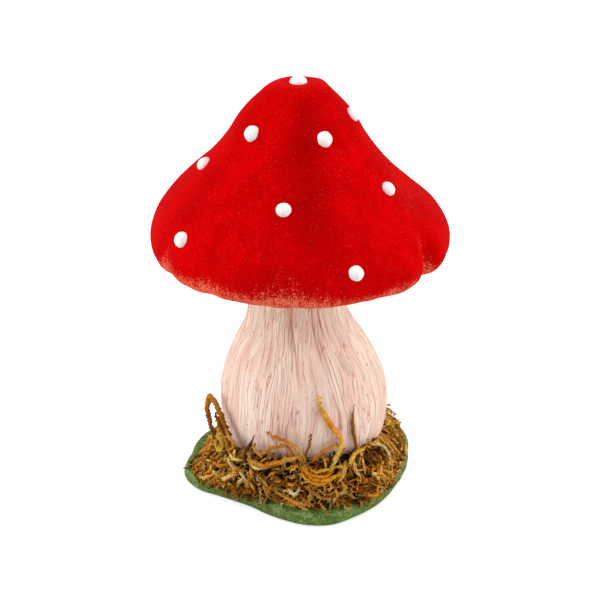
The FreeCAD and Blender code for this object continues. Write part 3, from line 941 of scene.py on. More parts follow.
def stem_finish():
    material, graph = new_finish("wrinkled_stem_paper")
    place = graph.place()
    fibre = graph.cloud(upright_place(graph, 64, 0.12), 1.0, 2.0, 0.6)
    fine = graph.cloud(upright_place(graph, 30, 0.042), 1.0, 1.0, 0.5)
    long = graph.cloud(upright_place(graph, 12, 0.026), 1.0, 1.0, 0.5)
    lines = thin_lines(graph, fine, 0.028)
    veins = thin_lines(graph, long, 0.017)
    gathers = graph.attribute("gathered")
    stains = graph.cloud(upright_place(graph, 6, 0.06), 1.0, 3.0)
    stains = graph.step(stains, 0.34, 0.64)
    tint = graph.mix(swatch(246, 209, 192), swatch(253, 230, 213), stains)
    tint = graph.mix(tint, swatch(236, 186, 168), 0.20 * graph.step(fibre, 0.50, 0.74))
    # Painted shade in the fine crease lines, darker where they gather in bundles
    tint = graph.mix(tint, swatch(212, 132, 114), (0.18 + 0.50 * gathers) * lines)
    tint = graph.mix(tint, swatch(192, 106, 88), (0.25 + 0.50 * gathers) * veins)
    # Painted shade in the creases of the mesh
    crease_shade = graph.step(graph.attribute("crease"), 0.40, 1.30)
    tint = graph.mix(tint, swatch(204, 124, 106), 0.56 * crease_shade)
    dashes = graph.step(graph.cloud(upright_place(graph, 18, 0.36), 1.0, 2.0), 0.59, 0.66)
    dashes = dashes * graph.step(graph.cloud(place, 7.0, 1.0), 0.52, 0.62)
    tint = graph.mix(tint, swatch(230, 116, 104), 0.56 * dashes)
    brown = graph.step(graph.cloud(place, 1.5, 0.0), 0.825, 0.85)
    tint = graph.mix(tint, swatch(146, 98, 62), 0.7 * brown)
    graph.finish(
        Base_Color=tint, Roughness=0.82, Specular_IOR_Level=0.18,
        Normal=graph.relief(0.3 * fibre - 0.45 * lines - 0.6 * veins, 0.26))
    return material


# %% Wrap the stem
def make_stem():
    faces = ring_faces(len(paper_points), stem_columns, joined_ends=True)
    return new_piece("stem_paper", paper_points, faces, stem_finish(),
                     ["stem_paper_wrap"], paper_marks)


print(size_line(make_stem()))

# %% [markdown]
# ## The green base
#
# A lobed board is wrapped in painted paper that is pulled over the edge and glued underneath.
# Paper can't stretch round a lobe, so it puckers: short wrinkles cross the edge, and a soft
# line runs round where the top turns down, which is painted pale as a highlight. What stands out
# is painted paler, partly rubbed paint and partly painted highlight, while the hollows and the
# foot of the edge are painted darker as shade, as are thin wrinkle lines. Rows run from the hole
# in the top, over the edge, under it, and back inside the paper.

# %% Outline of the base
base_low, base_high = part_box("base_green_paper")
base_reach = 44.0 * mm
base_edge_round = 2.6 * mm
green_paper_thickness = 0.8 * mm
green_paper_turn_in = 6.0 * mm
dowel_hole_radius = 3.15 * mm

# Azimuth, and radius as a share of base_reach
base_outline_shares = [
    (-175, 1.00), (-164, 0.94), (-152, 0.82), (-139, 0.75), (-126, 0.73), (-113, 0.77),
    (-100, 0.83), (-88, 0.90), (-74, 0.94), (-58, 0.90), (-42, 0.875), (-27, 0.86),
    (-12, 0.87), (4, 0.93), (19, 1.01), (33, 1.13), (46, 1.19), (62, 1.08),
    (86, 0.89), (108, 0.92), (130, 1.05), (148, 1.04), (167, 0.99),
]

# Edge from the top down: inset as a share of base_edge_round, level as a share of the thickness
base_edge_shares = [
    (1.60, 0.985), (1.15, 1.0), (0.80, 0.985), (0.42, 0.90), (0.10, 0.68), (0.0, 0.42),
    (0.14, 0.16), (0.50, 0.0),
]


def base_radius(azimuth):
    return base_reach * eased_round(base_outline_shares, azimuth)


outline_check = base_radius(round_azimuths(120)) / mm
print(f"outline {outline_check.min():.1f} to {outline_check.max():.1f} mm from the middle")

# %% Rows of the green paper
base_columns = 420
base_top_rows, base_edge_rows, base_under_rows = 14, 34, 4

# Where the inside of the paper turns round the edge of the board: insets and a rise
lining_far_inset, lining_near_inset, lining_rise = 2.2 * mm, 1.2 * mm, 1.4 * mm


def base_section():
    """Inset from the outline and level of each row, from the edge's upper turn to its lower."""
    size = np.array([base_edge_round, base_high.z - base_low.z]) / mm
    inset, level = eased_rows(np.array(base_edge_shares) * size, base_edge_rows).T
    return inset * mm, base_low.z + level * mm


def base_points():
    """Rings of the paper's outside, and rings of its inside."""
    azimuth = round_azimuths(base_columns)
    outline = base_radius(azimuth)
    inset, z = base_section()
    start = outline - inset[0]
    share = np.linspace(0, 1, base_top_rows, endpoint=False)[:, None]
    top = polar(azimuth, dowel_hole_radius + share * (start - dowel_hole_radius), z[0])
    edge = polar(azimuth, outline - inset[:, None], z[:, None])
    tucked = np.linspace(inset[-1], green_paper_turn_in, base_under_rows + 1)[1:, None]
    under = polar(azimuth, outline - tucked, base_low.z)
    outside = np.concatenate([top, edge, under])
    floor = base_low.z + green_paper_thickness
    ceiling = base_high.z - green_paper_thickness
    lining_rows = np.array([
        (green_paper_turn_in, floor),
        (lining_far_inset, floor),
        (lining_near_inset, base_low.z + lining_rise),
        (green_paper_thickness, (base_low.z + base_high.z) / 2),
        (lining_near_inset, base_high.z - lining_rise),
        (lining_far_inset, ceiling),
    ])
    lining = polar(azimuth, outline - lining_rows[:, :1], lining_rows[:, 1:])
    hole = polar(azimuth, dowel_hole_radius, ceiling)
    return outside, np.concatenate([lining, hole])


base_outside, base_lining = base_points()
print(f"{len(base_outside)} rings outside and {len(base_lining)} inside")

# %% Pucker the paper
pucker_depth = 0.34 * mm


def pucker(outside):
    """How much each place stands out, for wrinkles of the paper that mostly cross the edge."""
    across = lumps(outside * (1, 1, 0.35), 4.2 * mm, 6)
    ridges = 1 - np.abs(lumps(outside * (1, 1, 0.5), 7.5 * mm, 7)) * 2.4
    fine = lumps(outside, 1.7 * mm, 8)
    return 0.55 * across + 0.50 * np.clip(ridges, -1, 1) + 0.22 * fine


base_height = pucker(base_outside)
print(f"puckers from {base_height.min():.2f} to {base_height.max():.2f} of their depth")


# %% Paint the paper
def green_finish():
    material, graph = new_finish("painted_green_paper")
    place = graph.place()
    blotch = graph.cloud(place, 6.0, 4.0, 0.6)
    fibre = graph.cloud(graph.place((1, 1, 0.5)), 0.7, 3.0, 0.65)
    paint = graph.step(0.4 * blotch + 0.6 * fibre, 0.40, 0.60)
    green = graph.mix(swatch(72, 102, 32), swatch(120, 146, 64), paint)
    # Painted highlight on what stands out and in a line just below the top edge, partly paint
    # rubbed pale there
    raised = graph.attribute("raised")
    rubbed_and_highlight = graph.step(raised + 0.9 * fibre, 0.70, 1.35)
    green = graph.mix(green, swatch(146, 172, 108), 0.50 * rubbed_and_highlight)
    veins = graph.cloud(graph.place((1, 1, 1.4)), 2.6, 3.0, 0.65)
    # Painted shade in thin wrinkle lines
    wrinkle = thin_lines(graph, veins, 0.04)
    green = graph.mix(green, swatch(34, 58, 14), 0.62 * wrinkle)
    # Painted shade in the hollows between puckers and towards the foot of the edge, broken up by
    # blotches
    fold_shade = graph.step(0.4 * blotch - raised, 0.35, 0.95)
    green = graph.mix(green, swatch(46, 74, 24), 0.65 * fold_shade)
    stain = graph.step(graph.cloud(place, 9.0, 3.0), 0.66, 0.76)
    green = graph.mix(green, swatch(128, 100, 56), 0.45 * stain)
    height = 0.6 * fibre + 0.4 * graph.cloud(place, 2.0, 3.0) - 0.5 * wrinkle
    graph.finish(
        Base_Color=green, Roughness=0.72, Specular_IOR_Level=0.25,
        Normal=graph.relief(height, 0.34))
    return material


# %% Wrap the base
def make_base():
    outside, height = base_outside.copy(), base_height
    outwards = outside * (1, 1, 0)
    outwards /= np.linalg.norm(outwards, axis=-1, keepdims=True)
    from_top = smooth_step(base_high.z - outside[..., 2], 0.3 * mm, 2.2 * mm)
    from_bottom = smooth_step(outside[..., 2] - base_low.z, 0.1 * mm, 1.6 * mm)
    facing = outwards * (from_top * from_bottom)[..., None]
    facing[..., 2] += 1 - from_top
    outside += facing * (height * pucker_depth)[..., None]
    outside[..., 2] = np.maximum(outside[..., 2], base_low.z)
    # Pucker height, with a painted highlight line just below the top edge and painted shade
    # towards the foot of the edge
    raised = height + 2.6 * from_top * (1 - from_top) - 0.5 * (1 - from_bottom)
    points, marks = lined(outside, base_lining, {"raised": raised})
    faces = ring_faces(len(points), base_columns, joined_ends=True)
    return new_piece("green_paper_wrap", points, faces, green_finish(),
                     ["base_green_paper"], marks)


print(size_line(make_base()))

# %% [markdown]
# ### The felt pad
#
# A pad of thin felt covers the turned-in edge of the paper and keeps the base from scratching a
# shelf. Felt has a soft, slightly uneven cut edge, so its outline wavers a little.

# %% Cut the felt
pad_low, pad_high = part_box("base_pad")
pad_inset = 6.3 * mm
pad_columns = 240
pad_waver, pad_waver_size = 0.12 * mm, 1.4 * mm

# Radius as a share of the outline, level as a share of the thickness, from the underside up
pad_section = np.array([
    (0.04, 0), (0.35, 0), (0.7, 0), (0.97, 0), (0.996, 0.12), (1.0, 0.5), (0.996, 0.88),
    (0.97, 1), (0.7, 1), (0.35, 1), (0.04, 1),
])


def make_pad():
    azimuth = round_azimuths(pad_columns)
    outline = base_radius(azimuth) - pad_inset
    edge = polar(azimuth, outline, 0)
    outline = outline + pad_waver * (lumps(edge, pad_waver_size, 9) - 1)
    z = pad_low.z + pad_section[:, 1:] * (pad_high.z - pad_low.z)
    points = polar(azimuth, pad_section[:, :1] * outline, z)
    material, graph = new_finish("green_felt")
    fuzz = graph.cloud(graph.place(), 0.35, 4.0, 0.7)
    graph.finish(
        Base_Color=graph.mix(swatch(58, 82, 48), swatch(92, 122, 76), fuzz), Roughness=0.95,
        Specular_IOR_Level=0.1, Sheen_Weight=0.3, Normal=graph.relief(fuzz, 0.2))
    faces = closed_skin_faces(len(points), pad_columns)
    pad = new_piece("felt_pad", points, faces, material, ["base_pad"])
    step = math.radians(360 / pad_columns)
    area = float((outline ** 2).sum() / 2 * step)
    return pad


print(size_line(make_pad()))

# %% [markdown]
# ## Dried moss
#
# The moss is the busiest part of the ornament: hundreds of dry curled strands in ochre, tan and
# brown, some frilled like tiny feathers, with deep shade between them. Particle hair could grow
# it, but hair has no body and can't be kept as a solid mesh. So each strand is a real tube that
# walks over the mound, turning as it goes, and all strands of a clump are made at once with
# arrays. A dark core under them fills the gaps with painted shade, the dark that lies deep
# between the strands of real moss.

# %% Surface of the mound
clump_count = 6
moss_low = min(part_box(f"moss_clump_{number}")[0].z for number in range(1, clump_count + 1))
moss_height = 23.0 * mm
moss_collar = 2.0 * mm
moss_lump = 1.0 * mm
moss_lean = 1.5 * mm
moss_levels = [0.00, 0.14, 0.32, 0.52, 0.72, 0.88, 1.00]
moss_reaches = [1.00, 1.00, 0.88, 0.62, 0.38, 0.22, 0.04]
moss_wave_shares = [(1, 1.4, 0), (7, 0.5, 20), (11, 0.35, 75), (17, 0.3, 200)]

# Azimuth, and top of the moss there as a share of moss_height
moss_rise_shares = [
    (-178, 0.42), (-160, 0.56), (-142, 0.74), (-120, 0.84), (-90, 0.82), (-60, 0.86), (-33, 0.80),
    (0, 0.66), (25, 0.62), (60, 0.68), (90, 0.76), (125, 0.56), (148, 0.28), (166, 0.30),
]

# Azimuth, and how far the moss stays inside the edge of the base, in millimetres
moss_margins = [
    (-180, 5.2), (-170, 3.2), (-160, 1.6), (-148, 0.8), (-136, 0.8), (-122, 1.6), (-110, 3.0),
    (-90, 3.7), (-72, 4.6), (-60, 4.0), (-50, 1.8), (-36, 1.4), (-20, 2.2), (-8, 3.6), (8, 5.0),
    (24, 6.0), (42, 6.8), (66, 4.6), (96, 3.4), (124, 4.6), (144, 6.8), (160, 7.0),
]

# Azimuth, and how far loose strands hang over the edge of the base, in millimetres
moss_hangs = [
    (-178, 0.0), (-166, 1.0), (-152, 3.2), (-134, 3.4), (-120, 1.8), (-108, 0.3), (-84, 0.1),
    (-62, 0.3), (-48, 1.6), (-34, 2.0), (-20, 1.0), (-5, 0.0), (60, 0.0), (84, 0.8), (110, 0.4),
    (130, 0.0),
]


def mound_radius(azimuth, level):
    """Radius of the moss's outside. Above its top it goes on up the stem."""
    held = np.clip(level / eased_round(moss_rise_shares, azimuth), 0, 1)
    margin = eased_round(moss_margins, azimuth) * mm
    spread = base_radius(azimuth) - margin - stem_radius(stem_low.z) - moss_collar
    reach = np.interp(held, moss_levels, moss_reaches) * np.maximum(spread, 0)
    uneven = moss_lump * np.sin(np.pi * held) * waves(azimuth, moss_wave_shares)
    return stem_radius(moss_low + level * moss_height) + moss_collar + reach + uneven


def mound_points(azimuth, level, lift):
    """Points at a lift off the mound, in metres."""
    return polar(azimuth, mound_radius(azimuth, level) + lift, moss_low + level * moss_height)


def local_points(azimuth, share, lift):
    """Points at a share of the moss's height there. Near its top the moss leans on the stem."""
    lean = moss_lean * smooth_step(share, 0.78, 1.0)
    return mound_points(azimuth, share * eased_round(moss_rise_shares, azimuth), lift - lean)


print(f"the whole mound would be {moss_height / mm:.1f} mm high")


# %% Tubes along many paths at once
def unit(vectors):
    """Vectors of length 1, or of length 0 where there is no direction."""
    return vectors / np.maximum(np.linalg.norm(vectors, axis=-1, keepdims=True), 1e-12)


def frames_along(paths):
    """Direction, side and third direction at each point of each path, without sudden twists."""
    along = unit(np.gradient(paths, axis=1))
    aslant = (0.31, 0.17, 0.93)
    sides = [unit(np.cross(along[:, 0], aslant))]
    for step in range(1, paths.shape[1]):
        ahead = along[:, step]
        sides.append(unit(sides[-1] - (sides[-1] * ahead).sum(-1, keepdims=True) * ahead))
    side = np.stack(sides, axis=1)
    return along, side, np.cross(along, side)


def tubes(paths, radii, flatness, colours, draw, frill=0.3, sides=5):
    """Points, faces and colours of closed tubes, thin at their tips, with an uneven skin."""
    count, steps = paths.shape[:2]
    _, side, third = frames_along(paths)
    t = np.linspace(0, 1, steps)[None, :, None]
    taper = np.clip(np.minimum(t, 1 - t) / 0.28, 0.28, 1)
    twist = draw.uniform(-1.6, 1.6, (count, 1, 1)) * t
    turn = np.linspace(0, 2 * np.pi, sides, endpoint=False)[None, None, :]
    rough = 1 + frill * draw.uniform(-1, 1, (count, steps, sides))
    size = radii[:, None, None] * taper * rough
    wide, thick = size * np.cos(turn), size * flatness * np.sin(turn)
    across = wide * np.cos(twist) - thick * np.sin(twist)
    upward = wide * np.sin(twist) + thick * np.cos(twist)
    points = paths[:, :, None] + side[:, :, None] * across[..., None]
    points = points + third[:, :, None] * upward[..., None]
    first = (np.arange(count) * steps * sides)[:, None]
    quads = np.array(ring_faces(steps, sides))
    faces = (first[:, :, None] + quads[None]).reshape(-1, 4).tolist()
    ends = np.arange(sides) + np.array([[0], [(steps - 1) * sides]])
    faces += (first[:, :, None] + ends[None]).reshape(-1, sides).tolist()
    fade = 1 + 0.28 * draw.uniform(-1, 1, (count, steps, sides, 1)) + 0.25 * (1 - taper[..., None])
    skin = np.clip(colours[:, :, None] * fade, 0, 1)
    return points.reshape(-1, 3), faces, skin.reshape(-1, 3)


# %% Tiny leaves along many paths at once
def leaflets(paths, radii, length, colours, draw, per_step=2):
    """Tiny pointed leaves along paths, each a thin spike that leans forward."""
    count, steps = paths.shape[:2]
    along, side, third = frames_along(paths)
    number = int((steps - 1) * per_step)
    spot = draw.uniform(0, steps - 1.001, (count, number))
    index, part = spot.astype(int), (spot % 1)[..., None]
    strand = np.arange(count)[:, None]
    centre = paths[strand, index] * (1 - part) + paths[strand, index + 1] * part
    turn = draw.uniform(0, 2 * np.pi, (count, number, 1))
    out = side[strand, index] * np.cos(turn) + third[strand, index] * np.sin(turn)
    forward = along[strand, index]
    cross = np.cross(out, forward)
    reach = (length * draw.uniform(0.5, 1.3, (count, number)))[..., None]
    thick = radii[:, None, None]
    foot = centre + out * thick * 0.4
    bent = draw.uniform(0.3, 1.2, (count, number, 1))
    tip = centre + out * (thick + reach) + forward * reach * bent
    half = 0.34 * thick + 0.11 * mm
    corners = [foot - forward * half, foot + forward * half, foot + cross * half, tip]
    points = np.stack(corners, axis=2).reshape(-1, 3)
    spike = np.array([(0, 1, 3), (1, 2, 3), (2, 0, 3), (0, 2, 1)])
    first = (np.arange(count * number) * 4)[:, None, None]
    faces = (first + spike).reshape(-1, 3).tolist()
    shades = colours[strand, index][:, :, None] * draw.uniform(0.8, 1.55, (count, number, 4, 1))
    return points, faces, np.clip(shades, 0, 1).reshape(-1, 3)


# %% Join parts into one piece
def joined(parts):
    """Points, faces and colours of several parts as one."""
    points, faces, skins, first = [], [], [], 0
    for part_points, part_faces, part_skin in parts:
        points.append(part_points)
        skins.append(part_skin)
        faces += [[first + corner for corner in face] for face in part_faces]
        first += len(part_points)
    skin = np.concatenate(skins)
    opaque = np.ones((len(skin), 1))
    return np.concatenate(points), faces, np.concatenate([skin, opaque], axis=1)


def moss_finish():
    """One finish for all the moss: each strand brings its own colour on the mesh."""
    material, graph = new_finish("dried_moss")
    place = graph.place()
    grain = graph.cloud(place, 0.7, 3.0, 0.7)
    own = graph.attribute("tint", "Color")
    shaded = graph.mix(own, swatch(40, 16, 3), 0.48 * graph.step(grain, 0.50, 0.64))
    graph.finish(
        Base_Color=shaded, Roughness=0.80, Specular_IOR_Level=0.10,
        Normal=graph.relief(grain, 0.30))
    return material


moss_material = moss_finish()
print("moss finish ready")

# %% [markdown]
# ### Single strands, one by one
#
# Some strands leave the mound: a tall doubled loop at the left, a dark twig, an arch across the
# front, a straw-coloured strand that leans up the stem. They are what the eye remembers, so each
# is listed one by one. Its points are an azimuth, a lift off the mound in strand thicknesses and a
# level on the mound. The larger ones are pieces of their own. Smaller ones, such as the orange
# curls in front and the pale frills, are part of the clump that they grow from.

# %% Tints of the strands
strand_diameter = 1.8 * mm
strand_tints = {
    "ochre": (206, 134, 32), "tan": (224, 168, 80), "straw": (240, 194, 84),
    "brown": (150, 92, 22), "orange": (230, 138, 18), "gold": (234, 166, 40),
    "pale": (244, 216, 148), "white": (242, 230, 190), "bark": (146, 96, 34),
    "dark": (70, 38, 10),
}
plain_tints = {"dark", "bark"}
strand_waver, strand_waver_size = 0.45 * mm, 3.2 * mm


def strand_path(places, steps):
    """Smooth path through given points, with a slight natural waver."""
    azimuth, lift, level = np.array(places, float).T
    path = eased_rows(mound_points(azimuth, level, lift * strand_diameter), steps, 3)
    waver = np.stack([lumps(path, strand_waver_size, seed) for seed in (20, 21, 22)], axis=1)
    return path + waver * strand_waver * np.sin(np.linspace(0, np.pi, steps))[:, None]


# %% Grow one strand
strand_step = 0.80 * mm


def strand_parts(thickness, tints, places, draw):
    """The tube of a listed strand, with its leaflets unless all its tints are dark or bark, in a
    row of tints from end to end.
    """
    length = np.linalg.norm(np.diff(strand_path(places, 24), axis=0), axis=1).sum()
    path = strand_path(places, max(int(length / strand_step), 8))[None]
    colours = np.array([swatch(*strand_tints[tint])[:3] for tint in tints])
    along = np.linspace(0, len(tints) - 1, path.shape[1])
    shades = [np.interp(along, np.arange(len(tints)), column) for column in colours.T]
    shades = np.stack(shades, axis=1)[None]
    radius = np.array([thickness * strand_diameter / 2])
    if set(tints) <= plain_tints:
        return [tubes(path, radius * 0.9, 1.0, shades, draw, frill=0.16, sides=7)]
    strand = tubes(path, radius * 0.95, 0.62, shades, draw, frill=0.36, sides=8)
    return [strand, leaflets(path, radius * 0.7, 0.55 * mm, shades, draw, per_step=6)]


# %% Places of the large strands
# Thickness in strand diameters, tints along it, and its points
strand_places = {
    "moss_loop_left": (1.55, ("brown", "bark", "ochre", "brown", "brown"), [
        (-172, -0.7, 0.30), (-173, 0.7, 0.56), (-172, 0.9, 0.84), (-171, 0.9, 1.14),
        (-168, 0.5, 1.37), (-161, 0.2, 1.39), (-153, 0.0, 1.28), (-146, 0.0, 1.10),
        (-140, 0.3, 0.90), (-135, -0.7, 0.66)]),
    "moss_twig_dark": (0.90, ("dark", "dark", "bark"), [
        (-120, 0.0, 1.16), (-122, 0.5, 1.01), (-124, 1.2, 0.89), (-126, 1.4, 0.72),
        (-129, -0.7, 0.50)]),
    "moss_arch_front": (0.80, ("ochre",), [
        (-116, -0.7, 0.66), (-115, 0.5, 0.83), (-110, 0.4, 0.96), (-104, 0.4, 1.04),
        (-98, 0.4, 1.05), (-95, 0.5, 0.90), (-93, -0.7, 0.66)]),
    "moss_strand_upper": (1.00, ("ochre", "ochre", "tan", "brown"), [
        (-112, -0.1, 1.26), (-107, 0.4, 1.22), (-101, 0.6, 1.18), (-95, 0.7, 1.13),
        (-91, 0.7, 1.02), (-88, 0.6, 0.86), (-85, -0.7, 0.66)]),
    "moss_strand_front": (1.30, ("tan", "ochre", "tan"), [
        (-121, -0.3, 1.00), (-123, 1.0, 0.88), (-122, 1.4, 0.74), (-114, 1.5, 0.69),
        (-106, 1.5, 0.76), (-97, 1.3, 0.85), (-91, 0.8, 0.88), (-88, -0.7, 0.70)]),
    "moss_strand_straw": (1.35, ("straw", "orange", "straw", "straw"), [
        (-77, -0.4, 1.86), (-76, -0.4, 1.66), (-73, -0.4, 1.50), (-68, -0.3, 1.28),
        (-65, 0.4, 1.16), (-64, 0.6, 1.02), (-66, 0.8, 0.86), (-71, 0.7, 0.70),
        (-75, -0.7, 0.52)]),
    "moss_twig_thin": (0.85, ("bark",), [
        (-52, -0.3, 1.63), (-54, -0.3, 1.42), (-54, -0.2, 1.20), (-52, 0.0, 0.98),
        (-52, 0.4, 0.82), (-54, -0.6, 0.60)]),
    "moss_curl_front_right": (1.00, ("orange", "gold"), [
        (-91, -0.6, 0.66), (-88, 0.9, 0.72), (-85, 1.1, 0.60), (-80, 1.1, 0.54),
        (-74, 1.1, 0.55), (-68, 0.9, 0.58), (-64, -0.7, 0.50)]),
    "moss_strand_right": (0.95, ("tan", "brown"), [
        (-24, -0.7, 0.72), (-21, 0.7, 0.70), (-18, 0.9, 0.56), (-15, 0.9, 0.40),
        (-11, 0.7, 0.24), (-7, -0.6, 0.12)]),
    "moss_twig_right": (1.05, ("bark", "tan"), [
        (18, -0.7, 0.40), (16, 0.2, 0.66), (14, 0.7, 0.82), (12, 1.6, 0.80), (10, 2.7, 0.74)]),
    "moss_strand_back_left": (1.00, ("ochre",), [
        (152, -0.7, 0.18), (146, 0.7, 0.38), (137, 0.6, 0.58), (126, 0.4, 0.76),
        (116, 0.6, 0.70), (110, -0.7, 0.46)]),
    "moss_loop_back": (0.95, ("ochre", "tan"), [
        (78, -0.7, 0.50), (80, 0.7, 0.80), (86, 0.3, 1.18), (93, 0.3, 1.16), (98, 0.7, 0.80),
        (101, -0.7, 0.50)]),
    "moss_strand_back_right": (0.90, ("tan",), [
        (63, -0.7, 0.20), (55, 0.7, 0.40), (46, 0.9, 0.44), (37, 0.7, 0.50), (29, 0.8, 0.46),
        (22, -0.7, 0.30)]),
}

# %% Places of the small ones
small_strand_places = [
    (1.25, ("orange", "orange", "white"), [
        (-174, 0.5, 0.14), (-178, 1.2, 0.26), (177, 1.3, 0.38), (173, 0.9, 0.42)]),
    (0.60, ("straw",), [
        (-172, -0.4, 0.50), (-168, 0.9, 0.56), (-160, 1.0, 0.54), (-152, 1.0, 0.58),
        (-147, 0.0, 0.62)]),
    (0.55, ("tan",), [
        (-143, 0.6, 1.08), (-139, 0.9, 1.00), (-135, 0.9, 0.92), (-131, 0.3, 0.84)]),
    (0.60, ("straw",), [
        (-160, 0.5, 0.60), (-155, 0.9, 0.58), (-150, 1.0, 0.66), (-151, 0.9, 0.78),
        (-157, 0.8, 0.78), (-161, 0.6, 0.68)]),
    (0.60, ("tan",), [
        (-146, 0.5, 0.78), (-142, 0.9, 0.72), (-137, 1.0, 0.80), (-136, 0.9, 0.92),
        (-141, 0.8, 0.96), (-146, 0.6, 0.88)]),
    (1.10, ("pale", "tan"), [
        (-141, 0.6, 0.54), (-138, 1.2, 0.53), (-134, 1.1, 0.47), (-131, 0.4, 0.42)]),
    (1.00, ("tan", "pale"), [
        (-133, 0.7, 0.37), (-137, 1.2, 0.31), (-141, 1.2, 0.23), (-146, 0.5, 0.14)]),
    (1.20, ("ochre",), [
        (-158, 0.4, 0.34), (-154, 1.0, 0.35), (-149, 1.1, 0.36), (-142, 0.6, 0.43)]),
    (0.80, ("pale",), [(-133, 0.6, 0.43), (-129, 1.1, 0.36), (-126, 0.9, 0.26)]),
    (0.90, ("ochre",), [(-122, 0.6, 0.58), (-121, 1.1, 0.46), (-123, 0.7, 0.34)]),
    (0.80, ("tan",), [(-121, 0.5, 0.98), (-118, 1.0, 0.90), (-114, 0.9, 0.83)]),
    (0.60, ("brown",), [(-83, 0.0, 1.28), (-84, 0.4, 1.12), (-86, 0.6, 0.96), (-87, -0.4, 0.80)]),
    (0.75, ("ochre",), [
        (-84, -0.3, 0.78), (-80, 0.6, 0.88), (-76, 0.7, 0.96), (-72, 0.6, 1.00),
        (-68, 0.5, 1.06), (-65, -0.2, 1.00)]),
    (0.90, ("gold", "orange"), [
        (-88, 0.5, 0.74), (-85, 1.2, 0.64), (-80, 1.2, 0.60), (-75, 1.1, 0.60), (-71, 0.4, 0.64)]),
    (0.90, ("gold",), [(-85, 0.4, 0.70), (-81, 1.2, 0.66), (-76, 1.2, 0.69), (-70, 0.3, 0.66)]),
    (0.80, ("gold", "ochre"), [
        (-89, 0.7, 0.68), (-87, 1.4, 0.56), (-83, 1.5, 0.50), (-77, 1.4, 0.50), (-73, 0.6, 0.52)]),
    (0.90, ("straw", "gold"), [
        (-61, -0.3, 0.62), (-60, 0.9, 0.70), (-58, 1.0, 0.77), (-54, 0.9, 0.82),
        (-49, 0.9, 0.83), (-43, 0.7, 0.84)]),
    (0.80, ("tan",), [(-56, 0.5, 0.75), (-58, 0.9, 0.67), (-57, 1.0, 0.56), (-55, 0.7, 0.46)]),
    (0.80, ("tan",), [
        (-43, 0.3, 0.96), (-42, 0.9, 0.88), (-37, 1.0, 0.80), (-32, 0.9, 0.80), (-28, 0.4, 0.86)]),
    (0.70, ("pale",), [(-36, 0.5, 0.84), (-32, 1.1, 0.74), (-29, 1.2, 0.60), (-27, 0.8, 0.46)]),
    (0.75, ("tan",), [(-28, 0.5, 0.80), (-24, 0.9, 0.66), (-21, 1.0, 0.50), (-18, 0.5, 0.36)]),
    (0.70, ("brown",), [(14, 0.6, 0.36), (8, 0.9, 0.34), (0, 0.9, 0.32), (-6, 0.6, 0.26)]),
    (1.20, ("tan",), [(-7, 0.5, 0.18), (-4, 1.0, 0.26), (0, 1.1, 0.30), (3, 0.7, 0.24)]),
    (0.85, ("straw",), [(-10, 0.4, 0.84), (0, 0.9, 0.76), (10, 0.8, 0.66), (18, 0.3, 0.56)]),
    (0.50, ("tan",), [(20, 0.2, 0.74), (17, 0.7, 0.86), (13, 1.6, 0.88)]),
    (0.90, ("tan",), [(-62, 0.4, 0.74), (-64, 1.1, 0.66), (-67, 1.2, 0.54), (-70, 0.8, 0.46)]),
    (0.85, ("tan", "white", "pale"), [
        (-97.0, 0.5, 0.38), (-95.5, 1.3, 0.365), (-93.5, 1.6, 0.335), (-92.0, 1.0, 0.29)]),
    (0.70, ("white", "tan"), [
        (-94.0, 1.0, 0.29), (-92.5, 1.6, 0.33), (-91.0, 1.4, 0.375), (-90.5, 0.6, 0.40)]),
    (1.45, ("brown", "ochre"), [
        (-157, 0.4, 1.22), (-152, 0.5, 1.10), (-147, 0.7, 0.96), (-143, 0.8, 0.82),
        (-140, 0.3, 0.66)]),
    (1.05, ("ochre", "tan"), [
        (-102, 0.6, 0.27), (-96, 1.4, 0.22), (-90, 1.4, 0.16), (-85, 0.9, 0.11)]),
    (0.60, ("tan",), [(-93, 0.5, 0.22), (-91, 1.6, 0.15), (-88, 1.9, 0.08), (-86, 1.9, 0.06)]),
    (0.80, ("brown",), [
        (-137, 0.6, 0.16), (-135, 1.6, 0.10), (-133, 2.1, 0.05), (-131, 2.2, 0.04)]),
    (0.95, ("ochre", "orange"), [
        (-56, 0.5, 0.26), (-52, 1.2, 0.16), (-47, 1.3, 0.11), (-42, 0.8, 0.11)]),
    (1.00, ("ochre",), [(92, 0.3, 0.66), (98, 1.0, 0.56), (106, 1.1, 0.50), (112, 0.5, 0.38)]),
    (0.80, ("pale",), [(70, 0.5, 0.30), (75, 1.2, 0.36), (81, 1.1, 0.30), (86, 0.5, 0.22)]),
    (0.90, ("orange",), [(128, 0.5, 0.30), (134, 1.2, 0.32), (140, 1.2, 0.24), (145, 0.5, 0.16)]),
    (0.85, ("straw",), [(38, 0.4, 0.56), (44, 1.0, 0.60), (51, 1.0, 0.52), (56, 0.3, 0.44)]),
]

print(f"{len(strand_places)} large strands and {len(small_strand_places)} small ones placed")

# %% [markdown]
# ### Loose strands of a clump
#
# Every loose strand starts somewhere on the mound and walks a step at a time. Its heading turns
# steadily, which curls it, and jitters a little, which keeps it from looking machine made. One
# end is rooted below the surface and the other may stand off it, so the surface stays open and
# fluffy, with deep shade between the strands. What lies deep is also painted darker, as shade,
# and what stands high is painted lighter, as light falling on it. Three habits make the mix:
# frilled ribbons, short shreds and thin curls.

# %% Walk the strands over the mound
strand_colours = np.array([swatch(*colour)[:3] for colour in [
    (206, 136, 34), (226, 162, 60), (178, 106, 22), (134, 76, 12), (92, 44, 6),
    (230, 178, 88), (242, 204, 124), (212, 156, 66), (220, 136, 22), (160, 116, 34)]])
strand_colour_odds = np.array([16, 16, 13, 12, 8, 14, 5, 11, 3, 2]) / 100

# Painted shade on a strand deep in the moss and painted light high on it, and the lifts between
# which that changes
deep_light, full_light = 0.14, 1.2
shade_lifts = (-1.2 * mm, 1.9 * mm)

# A walk takes the mound for a drum of this radius, and keeps above this share of its height
walk_radius = 35 * mm
walk_foot = 0.02


def loose_colours(draw, count):
    return strand_colours[draw.choice(len(strand_colours), count, p=strand_colour_odds)][:, None]


